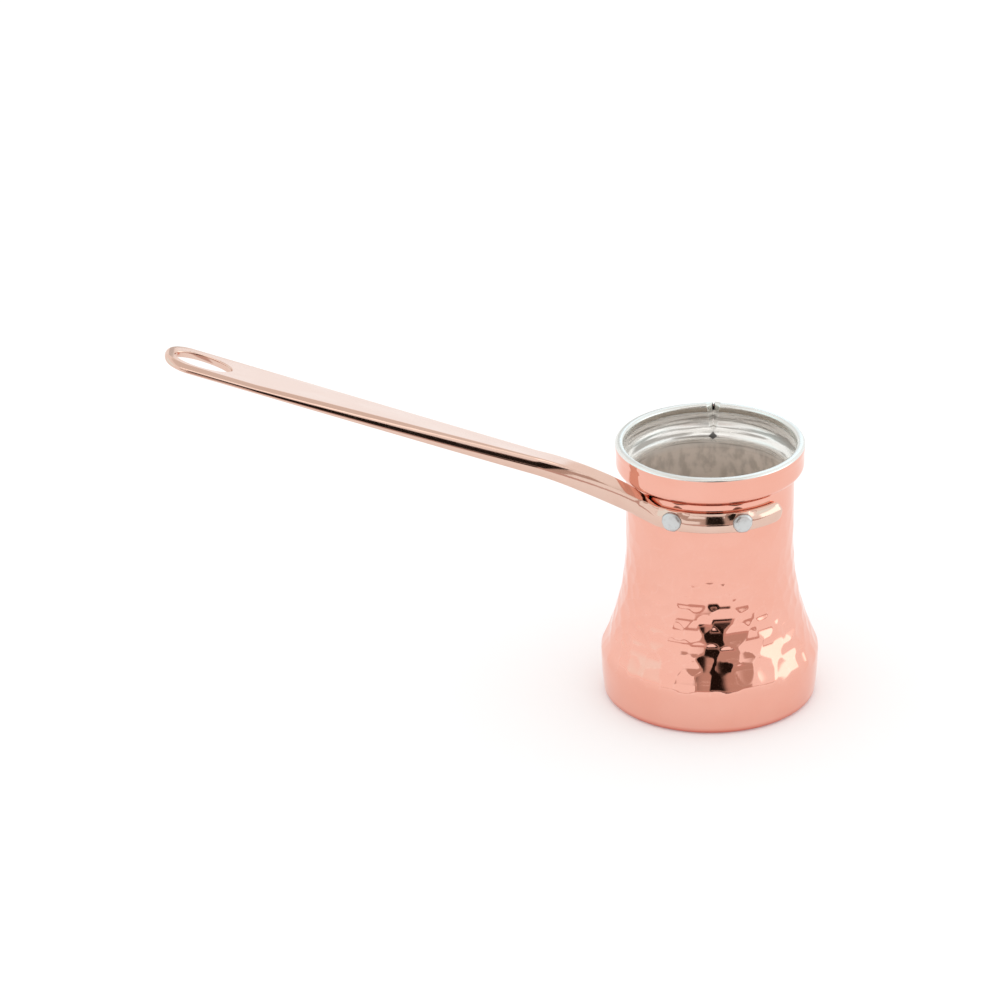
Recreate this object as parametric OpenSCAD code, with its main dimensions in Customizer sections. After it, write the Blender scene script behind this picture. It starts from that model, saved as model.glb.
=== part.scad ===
// Small long-handled coffee pot: a raised copper body, tinned inside and over its rim,
// with a forged bar handle whose strap is held on the neck by two rivets.
// Origin: centre of the underside. +Z up, handle along -X, strap on the -Y side, spout near +Y.

/* [Body] */
// Height from the underside to the top of the rim
pot_h = 95; // [88:1:104]
// Outer radius of the rim
rim_r = 32.7; // [31:0.1:34]
// Outer radius of the neck
neck_r = 29.1; // [27.5:0.1:30]
// Outer radius of the belly at its widest
belly_r = 38; // [36:0.5:41]
// Outer radius of the body just above its bottom edge
foot_r = 37.1; // [35.5:0.1:40]
// Thickness of the copper sheet
wall = 1.6; // [1.2:0.1:1.8]

/* [Rim and spout] */
// Straight height of the collar below the top of the rim
collar_h = 7.6; // [6.4:0.1:9]
// Width of the rounded lip across its top
lip_w = 2.9; // [2.4:0.1:3.2]
// Depth of the lip before the collar opens out behind it
lip_depth = 2.7; // [2:0.1:3.2]
// Thickness of the tinned cap on the lip
cap_h = 0.8; // [0.6:0.1:1.2]
// Thickness of the tin lining
tin = 0.3; // [0.2:0.05:0.4]
// How far the spout stands out past the rim
spout_out = 1; // [0.6:0.1:2.4]
// Angle of the spout round from +Y towards +X
spout_turn = 4.7; // [0:0.1:8]

/* [Strap and rivets] */
// Height of the strap
strap_h = 7; // [5.5:0.1:8]
// Thickness of the strap
strap_t = 2.5; // [2:0.1:3]
// Distance from the top of the rim down to the middle of the strap
strap_drop = 17.4; // [16.5:0.1:20]
// Angle round the neck from the middle of the strap to its free end
strap_end = 50; // [40:1:60]
// Angle round the neck of the rivet nearest the handle
rivet_left = -27; // [-34:1:-20]
// Angle round the neck of the rivet nearest the free end
rivet_right = 18; // [12:1:26]
// Radius of a rivet's head
head_r = 3.6; // [3:0.1:3.8]
// Height of a rivet's outer head above the strap
head_h = 1.2; // [0.8:0.1:1.6]
// Radius of a rivet's shank
shank_r = 1.75; // [1.4:0.05:2]

/* [Handle] */
// Distance from the body's axis to the tip of the handle
reach = 185.4; // [165:0.1:200]
// Rise of the straight bar for each millimetre of its run
bar_slope = 0.336; // [0.25:0.002:0.4]
// Width of the bar where it leaves the neck
root_w = 6.7; // [5.5:0.1:8]
// Width of the flat paddle at the tip
paddle_w = 16.6; // [14:0.1:18]
// Thickness of the flat paddle at the tip
paddle_t = 2.6; // [2:0.1:3.2]
// Length of the hanging slot
slot_len = 20; // [16:0.5:24]
// Width of the hanging slot at its widest
slot_w = 10.2; // [8:0.1:11]
// Metal left between the slot and the tip
slot_margin = 3.3; // [2.5:0.1:4.5]

/* [Hidden] */

COPPER = [0.88, 0.58, 0.48];
TIN = [0.84, 0.84, 0.82];
BRONZE = [0.86, 0.69, 0.55];
RIVET_METAL = [0.82, 0.84, 0.86];

// Body outline: a rounded bottom edge, a shoulder arc, a flare and the collar's S-bend
foot_round = 2.2;
inner_round = 4;
collar_r = rim_r - 0.2;
belly_z = 16;
shoulder_z = 19;
flare_top = 60.5;
flare_power = 2.25;
flare_run = flare_top - shoulder_z;
flare_depth = (belly_r - neck_r) / (1 + (shoulder_z - belly_z) * flare_power / (2 * flare_run));
shoulder_fall = (belly_r - neck_r - flare_depth) / pow(shoulder_z - belly_z, 2);
bend_out = 2.6;
bend_in = 2;
bend_angle = acos(1 - (collar_r - neck_r) / (bend_out + bend_in));
bend_top = pot_h - collar_h;
bend_foot = bend_top - (bend_out + bend_in) * sin(bend_angle);
lip_round = 1.05;

// The collar's inner S-bend is rounder than the outer one
hollow_in = 2.7;
hollow_out = 5.3;
hollow_turn = acos(1 - (collar_r - neck_r) / (hollow_in + hollow_out));
hollow_top = bend_foot + (hollow_in + hollow_out) * sin(hollow_turn);

// Spout: a tilted cone that grows out of the collar
spout_r = 4;
spout_foot_r = 1.7;
spout_h = 12;

// Strap, rivets and their seats on the neck
seat_gap = 0.03;
strap_in = neck_r + seat_gap;
strap_out = strap_in + strap_t;
strap_mid = strap_in + strap_t / 2;
strap_z = pot_h - strap_drop;
lining_r = neck_r - wall - tin;
head_edge = 0.55;
head_bevel = 0.7;
inner_head_r = 3;
inner_head_h = 0.8;
hole_gap = 0.05;
edge_r = 1;

// Handle route: round the neck, off it in an S-curve, then straight to the tip
root_angle = 38;
root_pull = 5;
hug_angle = 50;
hug_share = 0.3;
hug_power = 1.4;
hug_pull = 3;
bar_x = 60;
bar_y = -9.4;
bar_rise = 14.4;
bar_pull = 14;
tip_y = -7.6;
taper_from = 40;
taper_to = 155;
tip_round = 9;
slot_peak = 0.45;
bar_start = [-bar_x, bar_y, strap_z + bar_rise];
tip = [-reach, tip_y, strap_z + bar_rise + bar_slope * (reach - bar_x)];
bar_aim = unit(tip - bar_start);
bar_pitch = asin(bar_aim[2]);
bar_turn = atan2(bar_aim[1], bar_aim[0]);
plan_aim = unit([bar_aim[0], bar_aim[1]]);

STRAP_STEPS = 24;
END_STEPS = 6;
ROOT_STEPS = 18;
BAR_STEPS = 8;
CORNER_STEPS = 4;
SLOT_STEPS = 40;

function unit(v) = v / norm(v);
function clamp01(x) = max(0, min(1, x));
function bezier(a, b, c, d, t) =
    pow(1 - t, 3) * a + 3 * pow(1 - t, 2) * t * b + 3 * (1 - t) * t * t * c + t * t * t * d;

// Outer radius of the body between its bottom edge and the top of the neck
function body_r(z) =
    z < belly_z ? belly_r - (belly_r - foot_r) * pow((belly_z - z) / (belly_z - foot_round), 2) :
    z < shoulder_z ? belly_r - shoulder_fall * pow(z - belly_z, 2) :
    z < flare_top ? neck_r + flare_depth * pow((flare_top - z) / flare_run, flare_power) : neck_r;

// Points of the wall from a height up to the foot of the bend, moved in by an inset
function wall_points(from, inset) = [
    for (z = [from : 1.5 : flare_top]) [body_r(z) - inset, z],
    [neck_r - inset, bend_foot],
];

// The outer S-bend from the neck out to the collar
bend_points = [
    for (a = [180 : -9 : 180 - bend_angle])
        [neck_r + bend_in + bend_in * cos(a), bend_foot + bend_in * sin(a)],
    for (a = [-bend_angle : 9 : 0])
        [collar_r - bend_out + bend_out * cos(a), bend_top + bend_out * sin(a)],
    [collar_r, bend_top],
];

// The inner S-bend, with a film of the given thickness on the copper
function hollow_points(film) = [
    for (a = [180 : -9 : 180 - hollow_turn])
        [neck_r - wall + hollow_in + (hollow_in + film) * cos(a), bend_foot + (hollow_in + film) * sin(a)],
    for (a = [-hollow_turn : 9 : 0])
        [collar_r - wall - hollow_out + (hollow_out - film) * cos(a),
         hollow_top + (hollow_out - film) * sin(a)],
    [collar_r - wall - film, hollow_top],
];

// The whole outside as one outline, with a rounded bottom edge and a rounded lip
module outer_outline() {
    polygon([
        [0, 0],
        for (a = [-90 : 10 : 0])
            [foot_r - foot_round + foot_round * cos(a), foot_round + foot_round * sin(a)],
        each wall_points(foot_round + 0.6, 0),
        each bend_points,
        [collar_r, pot_h - lip_depth - 0.6],
        [rim_r, pot_h - lip_depth],
        for (a = [0 : 10 : 90])
            [rim_r - lip_round + lip_round * cos(a), pot_h - lip_round + lip_round * sin(a)],
        [0, pot_h],
    ]);
}

// The hollow, with a film of the given thickness left on the copper
module inner_outline(film) {
    inset = wall + film;
    floor_z = wall + film;
    corner_r = body_r(floor_z + inner_round) - inset;
    lip_r = rim_r - lip_w + tin - film;
    polygon([
        [0, floor_z],
        for (a = [-90 : 10 : -10])
            [corner_r - inner_round + inner_round * cos(a), floor_z + inner_round + inner_round * sin(a)],
        each wall_points(floor_z + inner_round, inset),
        each hollow_points(film),
        [collar_r - inset, pot_h - lip_depth - 0.8 - film],
        [lip_r, pot_h - lip_depth - film],
        [lip_r, pot_h + 1],
        [0, pot_h + 1],
    ]);
}

// The spout's cone, moved in by an inset, turned to its place and cut off level with the rim
module spout_cone(inset) {
    top_y = rim_r + spout_out - spout_r;
    foot_y = neck_r - spout_foot_r;
    tilt = atan2(top_y - foot_y, spout_h);
    rotate([0, 0, -spout_turn]) intersection() {
        translate([0, foot_y, pot_h - spout_h])
            rotate([-tilt, 0, 0])
                cylinder(h = spout_h * 1.4, r1 = max(spout_foot_r - inset, 0.1),
                         r2 = spout_r - inset + (spout_r - spout_foot_r) * 0.4, $fn = 48);
        translate([-10, 0, 0]) cube([20, 60, pot_h + (inset > 0 ? 1 : 0)]);
    }
}

module pot_outside() {
    rotate_extrude($fn = 128) outer_outline();
    spout_cone(0);
}

module pot_inside(film) {
    rotate_extrude($fn = 128) inner_outline(film);
    spout_cone(wall + film);
}

// Places a feature on a rivet's axis, its +Z pointing straight out from the neck
module on_rivet_axis(angle) {
    rotate([0, 0, angle]) translate([0, 0, strap_z]) rotate([90, 0, 0]) children();
}

module rivet_holes() {
    for (angle = [rivet_left, rivet_right])
        on_rivet_axis(angle)
            translate([0, 0, lining_r - 4]) cylinder(h = 14, r = shank_r + hole_gap, $fn = 32);
}

module pot_body() {
    color(COPPER) difference() {
        pot_outside();
        pot_inside(0);
        translate([-50, -50, pot_h - cap_h]) cube([100, 100, 10]);
        rivet_holes();
    }
}

// A film of tin on the whole inside, and the rounded cap of the lip
module tin_lining() {
    color(TIN) difference() {
        union() {
            intersection() {
                pot_inside(0);
                cylinder(h = pot_h - cap_h, r = 50, $fn = 64);
            }
            intersection() {
                pot_outside();
                translate([-50, -50, pot_h - cap_h]) cube([100, 100, 10]);
            }
        }
        pot_inside(tin);
        rivet_holes();
    }
}

// Outer head with a bevelled edge, shank, and the head closed over inside the neck
module rivet(angle) {
    color(RIVET_METAL) difference() {
        union() {
            difference() {
                on_rivet_axis(angle) rotate_extrude($fn = 48) polygon([
                    [0, lining_r + 1],
                    [head_r, lining_r + 1],
                    [head_r, strap_out + head_edge],
                    [head_r - head_bevel, strap_out + head_h - 0.15],
                    [head_r / 3, strap_out + head_h],
                    [0, strap_out + head_h],
                ]);
                cylinder(h = pot_h, r = strap_out, $fn = 128);
            }
            intersection() {
                on_rivet_axis(angle)
                    translate([0, 0, lining_r - inner_head_h - 0.2])
                        cylinder(h = inner_head_h + 1, r = inner_head_r, $fn = 48);
                cylinder(h = pot_h, r = lining_r, $fn = 128);
            }
            on_rivet_axis(angle)
                translate([0, 0, lining_r - 0.5])
                    cylinder(h = strap_out + head_h / 2 - lining_r + 0.5, r = shank_r, $fn = 32);
        }
    }
}

module left_rivet() {
    rivet(rivet_left);
}

module right_rivet() {
    rivet(rivet_right);
}

// A stop along the handle: [centre, direction, half width across, half height]
function strap_stop(angle, half_h) = [
    [strap_mid * sin(angle), -strap_mid * cos(angle), strap_z],
    [-cos(angle), -sin(angle), 0], strap_t / 2, half_h];

// The free end of the strap is a half-round, so its height grows as a circle's chord does
end_run = strap_h / 2 / strap_mid * 180 / PI;
end_stops = [
    for (i = [1 : END_STEPS])
        let (u = cos(90 * i / END_STEPS))
            strap_stop(strap_end - end_run * (1 - u), strap_h / 2 * max(sqrt(1 - u * u), 0.12))];

strap_stops = [
    for (i = [1 : STRAP_STEPS])
        strap_stop(strap_end - end_run - (strap_end - end_run + root_angle) * i / STRAP_STEPS, strap_h / 2)];

function taper(x, from, to) = from + (to - from) * clamp01((-x - taper_from) / (taper_to - taper_from));

// The root in plan: its front edge runs straight off the strap, its back edge hugs the neck first
function on_neck(angle, radius) = radius * [-sin(angle), -cos(angle)];
function neck_run(angle) = [-cos(angle), sin(angle)];
function bar_edge(side) =
    [-bar_x, bar_y] + side * taper(-bar_x, root_w, paddle_w) / 2 * [-plan_aim[1], plan_aim[0]];
function root_edge(angle, radius, pull, side, t) =
    bezier(on_neck(angle, radius), on_neck(angle, radius) + pull * neck_run(angle),
           bar_edge(side) - bar_pull * plan_aim, bar_edge(side), t);
function root_front(t) = root_edge(root_angle, strap_out, root_pull, 1, t);
function root_back(t) =
    t < hug_share ? on_neck(root_angle + (hug_angle - root_angle) * pow(t / hug_share, hug_power), strap_in)
                  : root_edge(hug_angle, strap_in, hug_pull, -1, (t - hug_share) / (1 - hug_share));
function root_middle(t) = (root_front(t) + root_back(t)) / 2;
function root_rise(t) = bezier(0, 0, bar_rise - bar_slope * bar_pull, bar_rise, t);

root_stops = [
    for (i = [1 : ROOT_STEPS])
        let (t = i / ROOT_STEPS,
             across = root_back(t) - root_front(t), side = unit(across), middle = root_middle(t),
             slope = (root_rise(t + 0.01) - root_rise(t)) / norm(root_middle(t + 0.01) - middle))
            [[middle[0], middle[1], strap_z + root_rise(t)], unit([-side[1], side[0], slope]),
             norm(across) / 2, taper(middle[0], strap_h, paddle_t) / 2]];

tip_length = norm(tip - bar_start);
bar_stops = [
    for (i = [1 : BAR_STEPS])
        let (centre = bar_start + (tip_length - tip_round) * i / BAR_STEPS * bar_aim)
            [centre, bar_aim, taper(centre[0], root_w, paddle_w) / 2,
             taper(centre[0], strap_h, paddle_t) / 2]];

tip_stops = [
    for (i = [1 : 8])
        let (u = sin(90 * i / 8))
            [tip - tip_round * (1 - u) * bar_aim, bar_aim,
             paddle_w / 2 * max(sqrt(1 - u * u), 0.05), paddle_t / 2 * max(sqrt(1 - pow(u, 10)), 0.3)]];

// A rounded rectangle across the handle at a stop, its sides level and its top square to the run
function ring(stop) =
    let (side = unit(cross(stop[1], [0, 0, 1])), top = cross(side, stop[1]),
         round_r = min(edge_r, stop[2] * 0.8, stop[3] * 0.8),
         w = stop[2] - round_r, h = stop[3] - round_r)
        [for (q = [0 : 3], k = [0 : CORNER_STEPS])
            let (a = 90 * q + 90 * k / CORNER_STEPS,
                 sx = (q == 0 || q == 3) ? 1 : -1, sy = q < 2 ? 1 : -1)
                stop[0] + (sx * w + round_r * cos(a)) * side + (sy * h + round_r * sin(a)) * top];

module handle_bar() {
    stops = concat(end_stops, strap_stops, root_stops, bar_stops, tip_stops);
    sides = 4 * (CORNER_STEPS + 1);
    last = (len(stops) - 1) * sides;
    polyhedron(
        points = [for (stop = stops) each ring(stop)],
        faces = [
            [for (k = [sides - 1 : -1 : 0]) k],
            for (i = [0 : len(stops) - 2], k = [0 : sides - 1])
                let (a = i * sides + k, b = i * sides + (k + 1) % sides)
                    [a, b, b + sides, a + sides],
            [for (k = [0 : sides - 1]) last + k],
        ]);
}

// Half width of the egg-shaped slot, from its blunt end by the tip (0) to its longer end (1)
function slot_half(u) =
    slot_w / 2 * sqrt(max(0, 1 - pow((u - slot_peak) / (u < slot_peak ? slot_peak : 1 - slot_peak), 2)));

module slot() {
    translate(tip)
        rotate([0, bar_pitch, 180 + bar_turn])
            translate([slot_margin, 0, -paddle_t * 2])
                linear_extrude(height = paddle_t * 4)
                    polygon([
                        for (i = [0 : SLOT_STEPS])
                            let (u = (1 - cos(180 * i / SLOT_STEPS)) / 2) [u * slot_len, slot_half(u)],
                        for (i = [SLOT_STEPS - 1 : -1 : 1])
                            let (u = (1 - cos(180 * i / SLOT_STEPS)) / 2) [u * slot_len, -slot_half(u)],
                    ]);
}

// Forged bar: a strap round the neck that swells into a tapering bar with a hanging slot
module handle() {
    color(BRONZE) difference() {
        handle_bar();
        rivet_holes();
        slot();
    }
}

pot_body();
tin_lining();
handle();
left_rivet();
right_rivet();
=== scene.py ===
"""Looks of a small long-handled coffee pot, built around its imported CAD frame.

Each sub-assembly is a class that holds its sizes in millimetres, builds its own meshes where
the CAD nodes are, and dresses them with node materials. The pieces are a hammered copper
body, its tin lining, a forged bronze handle with a strap, and two tinned rivets.
"""

import logging
import math
from dataclasses import dataclass, field
from enum import Enum
from typing import Iterable, Optional, Sequence, Union

import bmesh
import bpy
import numpy as np
from mathutils import Matrix, Vector


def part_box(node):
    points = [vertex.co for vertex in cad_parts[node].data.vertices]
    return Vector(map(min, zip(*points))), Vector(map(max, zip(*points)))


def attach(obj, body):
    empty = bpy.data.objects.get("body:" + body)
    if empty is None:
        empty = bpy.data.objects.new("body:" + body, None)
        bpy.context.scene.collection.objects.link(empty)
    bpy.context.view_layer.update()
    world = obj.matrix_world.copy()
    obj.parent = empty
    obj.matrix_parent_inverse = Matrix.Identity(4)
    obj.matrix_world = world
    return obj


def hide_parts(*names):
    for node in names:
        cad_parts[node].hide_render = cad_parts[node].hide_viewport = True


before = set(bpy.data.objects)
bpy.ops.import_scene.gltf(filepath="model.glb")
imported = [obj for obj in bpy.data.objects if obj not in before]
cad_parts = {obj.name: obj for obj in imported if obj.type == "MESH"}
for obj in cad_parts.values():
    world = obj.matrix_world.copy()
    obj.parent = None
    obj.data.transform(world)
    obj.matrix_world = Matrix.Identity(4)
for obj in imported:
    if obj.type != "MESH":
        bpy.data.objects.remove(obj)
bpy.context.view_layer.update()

MM = 0.001
BODY = "root"
FULL_TURN = 2 * math.pi
BAR_PITCH = math.radians(18.6)  # the bar's climb, along which its file lines run

log = logging.getLogger("coffee_pot")

Pair = tuple[float, float]
Colour = tuple[float, float, float]
Setting = Union[str, int, float, bool, list]
Link = Union["Value", bpy.types.NodeSocket, float, tuple]
Point = Union[float, np.ndarray]


class Slot(Enum):
    """The record's material slots."""

    COPPER = "copper"
    TIN = "tin"
    BRONZE = "bronze"
    RIVET = "rivet_metal"


class Side(Enum):
    """Which of the two rivets a rivet is, seen from the strap's front."""

    LEFT = "left_rivet"
    RIGHT = "right_rivet"


# ---------------------------------------------------------------- shader building


@dataclass(frozen=True)
class Grain:
    """A noise whose grain has its own size along X, Y and Z, in millimetres.

    Detail is its octaves of finer grain, and turn the angle about Y, in radians, by which its
    axes are turned first.
    """

    x: float
    y: float
    z: float
    detail: float = 3.0
    turn: float = 0.0


@dataclass(frozen=True)
class Relief:
    """How deep a height of 1 is in a bump, in millimetres, and how much of the bump shows."""

    depth: float
    strength: float


class Value:
    """A number on a node socket, on which arithmetic adds Math nodes."""

    def __init__(self, book: "NodeBook", socket: bpy.types.NodeSocket) -> None:
        """Wraps a float output socket.

        Args:
            book: the book that owns the node.
            socket: the node's output.
        """
        self.book = book
        self.socket = socket

    def _math(self, operation: str, first: Link, second: Link = 0.0) -> "Value":
        """Adds one Math node and wraps its result.

        Args:
            operation: the Math node's operation.
            first: the upper input.
            second: the lower input.

        Returns:
            The node's output as a Value.
        """
        node = self.book.add("ShaderNodeMath", {"operation": operation}, {0: first, 1: second})
        return Value(self.book, node.outputs[0])

    def __add__(self, other: Link) -> "Value":
        """self + other."""
        return self._math("ADD", self, other)

    def __radd__(self, other: Link) -> "Value":
        """other + self."""
        return self._math("ADD", other, self)

    def __sub__(self, other: Link) -> "Value":
        """self - other."""
        return self._math("SUBTRACT", self, other)

    def __rsub__(self, other: Link) -> "Value":
        """other - self."""
        return self._math("SUBTRACT", other, self)

    def __mul__(self, other: Link) -> "Value":
        """self * other."""
        return self._math("MULTIPLY", self, other)

    def __rmul__(self, other: Link) -> "Value":
        """other * self."""
        return self._math("MULTIPLY", other, self)

    def size(self) -> "Value":
        """This value without its sign."""
        return self._math("ABSOLUTE", self)

    def between(self, low: float, high: float) -> "Value":
        """A smooth step of this value.

        Args:
            low: where the step starts, at 0.
            high: where it ends, at 1; it may be below low for a falling step.

        Returns:
            The step, from 0 to 1.
        """
        node = self.book.add(
            "ShaderNodeMapRange",
            {"interpolation_type": "SMOOTHSTEP"},
            {"Value": self, "From Min": low, "From Max": high, "To Min": 0.0, "To Max": 1.0},
        )
        return Value(self.book, node.outputs[0])


class NodeBook:
    """The node tree of one material, filled through a single method that adds any node."""

    def __init__(self, name: str) -> None:
        """Makes a material with an empty node tree.

        Args:
            name: the material's name.
        """
        self.material = bpy.data.materials.new(name)
        self.material.use_nodes = True
        self.tree = self.material.node_tree
        self.tree.nodes.clear()

    def add(self, kind: str, settings: Optional[dict[str, Setting]] = None,
            sockets: Optional[dict[Union[str, int], Link]] = None) -> bpy.types.Node:
        """Adds any node.

        Args:
            kind: the node's type.
            settings: its properties, set first; "stops" are a ramp's (place, colour) pairs.
            sockets: values or links by input name or index.

        Returns:
            The new node.
        """
        node = self.tree.nodes.new(kind)
        for key, value in (settings or {}).items():
            if key == "stops":
                self._set_stops(node.color_ramp, value)
            else:
                setattr(node, key, value)
        for key, value in (sockets or {}).items():
            if isinstance(value, Value):
                value = value.socket
            if isinstance(value, bpy.types.NodeSocket):
                self.tree.links.new(value, node.inputs[key])
            else:
                node.inputs[key].default_value = value
        return node

    @staticmethod
    def _set_stops(ramp: bpy.types.ColorRamp, stops: Sequence[tuple[float, Colour]]) -> None:
        """Gives a colour ramp its stops.

        Args:
            ramp: the ramp to fill.
            stops: place and colour of each stop, in order.
        """
        while len(ramp.elements) < len(stops):
            ramp.elements.new(1.0)
        for element, (place, colour) in zip(ramp.elements, stops):
            element.position = place
            element.color = (*colour, 1.0)

    def place(self) -> bpy.types.NodeSocket:
        """The object's own coordinates, in metres."""
        return self.add("ShaderNodeTexCoord").outputs["Object"]

    def axis(self, name: str) -> Value:
        """One of the object's coordinates, X, Y or Z, as a number."""
        split = self.add("ShaderNodeSeparateXYZ", None, {"Vector": self.place()})
        return Value(self, split.outputs[name])

    def noise(self, grain: Grain) -> Value:
        """A noise over the surface.

        Args:
            grain: its sizes, detail and turn.

        Returns:
            The noise, centred on 0.5.
        """
        turned = self.add("ShaderNodeMapping", {"vector_type": "TEXTURE"},
                          {"Vector": self.place(), "Rotation": (0.0, grain.turn, 0.0)})
        scale = tuple(1 / (size * MM) for size in (grain.x, grain.y, grain.z))
        scaled = self.add("ShaderNodeMapping", None, {"Vector": turned.outputs[0], "Scale": scale})
        node = self.add("ShaderNodeTexNoise", None,
                        {"Vector": scaled.outputs[0], "Scale": 1.0, "Detail": grain.detail})
        return Value(self, node.outputs["Fac"])

    def attribute(self, name: str) -> Value:
        """A number stored on the mesh's vertices."""
        node = self.add("ShaderNodeAttribute", {"attribute_name": name})
        return Value(self, node.outputs["Fac"])

    def mix(self, share: Link, first: Link, second: Link) -> bpy.types.NodeSocket:
        """Mixes two colours.

        Args:
            share: how much of the second colour shows.
            first: a colour or a colour socket.
            second: a colour or a colour socket.

        Returns:
            The mixed colour's socket.
        """
        colours = [(*c, 1.0) if isinstance(c, tuple) else c for c in (first, second)]
        node = self.add("ShaderNodeMix", {"data_type": "RGBA"}, {0: share, 6: colours[0], 7: colours[1]})
        return node.outputs[2]

    def bump(self, height: Link, relief: Relief,
             under: Optional[bpy.types.NodeSocket] = None) -> bpy.types.NodeSocket:
        """Turns a height into a normal.

        Args:
            height: the height, from 0 to 1.
            relief: its depth and strength.
            under: the normal of a bump beneath this one.

        Returns:
            The normal's socket.
        """
        sockets = {"Height": height, "Distance": relief.depth * MM, "Strength": relief.strength}
        if under is not None:
            sockets["Normal"] = under
        return self.add("ShaderNodeBump", None, sockets).outputs[0]

    def metal(self, colour: Link, roughness: Link, normal: bpy.types.NodeSocket,
              metallic: Link = 1.0) -> bpy.types.Material:
        """Ends the tree in a metal surface.

        Args:
            colour: the reflected colour.
            roughness: the roughness.
            normal: the bumped normal.
            metallic: 1 for bare metal, less where it has gone dull.

        Returns:
            The finished material.
        """
        return self.finished("ShaderNodeBsdfPrincipled", {
            "Base Color": colour, "Roughness": roughness, "Normal": normal, "Metallic": metallic})

    def finished(self, shader: str, sockets: dict[Union[str, int], Link]) -> bpy.types.Material:
        """Ends the tree in a shader.

        Args:
            shader: the shader node's type.
            sockets: values or links by input name.

        Returns:
            The finished material.
        """
        surface = self.add(shader, None, sockets)
        self.add("ShaderNodeOutputMaterial", None, {"Surface": surface.outputs[0]})
        return self.material


# ---------------------------------------------------------------- finishes


@dataclass(frozen=True)
class HammeredCopper:
    """Polished pink copper, faint polishing lines, painted highlights on the ridges and painted shade at
    its foot.
    """

    colour: Colour = (0.86, 0.447, 0.355)
    warm: Colour = (0.84, 0.400, 0.305)
    # Painted highlight: a paler copper laid on the ridges between the hammer marks.
    ridge_highlight: Colour = (0.90, 0.54, 0.45)
    # Painted shade: a dark red for the bottom edge, standing in for the floor's contact shadow reflected
    # there.
    foot: Colour = (0.66, 0.13, 0.09)
    warm_share: float = 0.5
    ridge_highlight_share: float = 0.35
    foot_shade_share: float = 0.95
    foot_shade_z: float = 3.0
    roughness: float = 0.05
    cloud_haze: float = 0.05
    foot_haze: float = 0.12
    line_haze: float = 0.02
    patches: Grain = Grain(19.0, 19.0, 13.0, detail=4.0)
    clouds: Grain = Grain(5.0, 5.0, 3.5, detail=5.0)
    lines: Grain = Grain(7.0, 7.0, 0.16)
    cloud_relief: Relief = Relief(depth=0.02, strength=0.25)
    line_relief: Relief = Relief(depth=0.004, strength=0.35)

    def material(self) -> bpy.types.Material:
        """Makes the copper's node material.

        Returns:
            The material.
        """
        book = NodeBook("hammered_copper")
        patches = book.noise(self.patches)
        clouds = book.noise(self.clouds)
        lines = book.noise(self.lines)
        # Painted shade: the lowest millimetres turn dark red, for the contact shadow reflected in the
        # bottom edge.
        low = book.axis("Z").between(self.foot_shade_z * MM, 0.0)
        tone = book.mix(patches.between(0.35, 0.75) * self.warm_share, self.colour, self.warm)
        # Painted highlight: the ridges between the hammer marks turn paler.
        tone = book.mix(book.attribute("ridge_highlight") * self.ridge_highlight_share, tone, self.ridge_highlight)
        tone = book.mix(low * self.foot_shade_share, tone, self.foot)
        rough = self.roughness + clouds.between(0.45, 0.8) * self.cloud_haze
        rough = rough + low * self.foot_haze + lines * self.line_haze
        normal = book.bump(lines, self.line_relief)
        normal = book.bump(clouds, self.cloud_relief, normal)
        return book.metal(tone, rough, normal)


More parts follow.
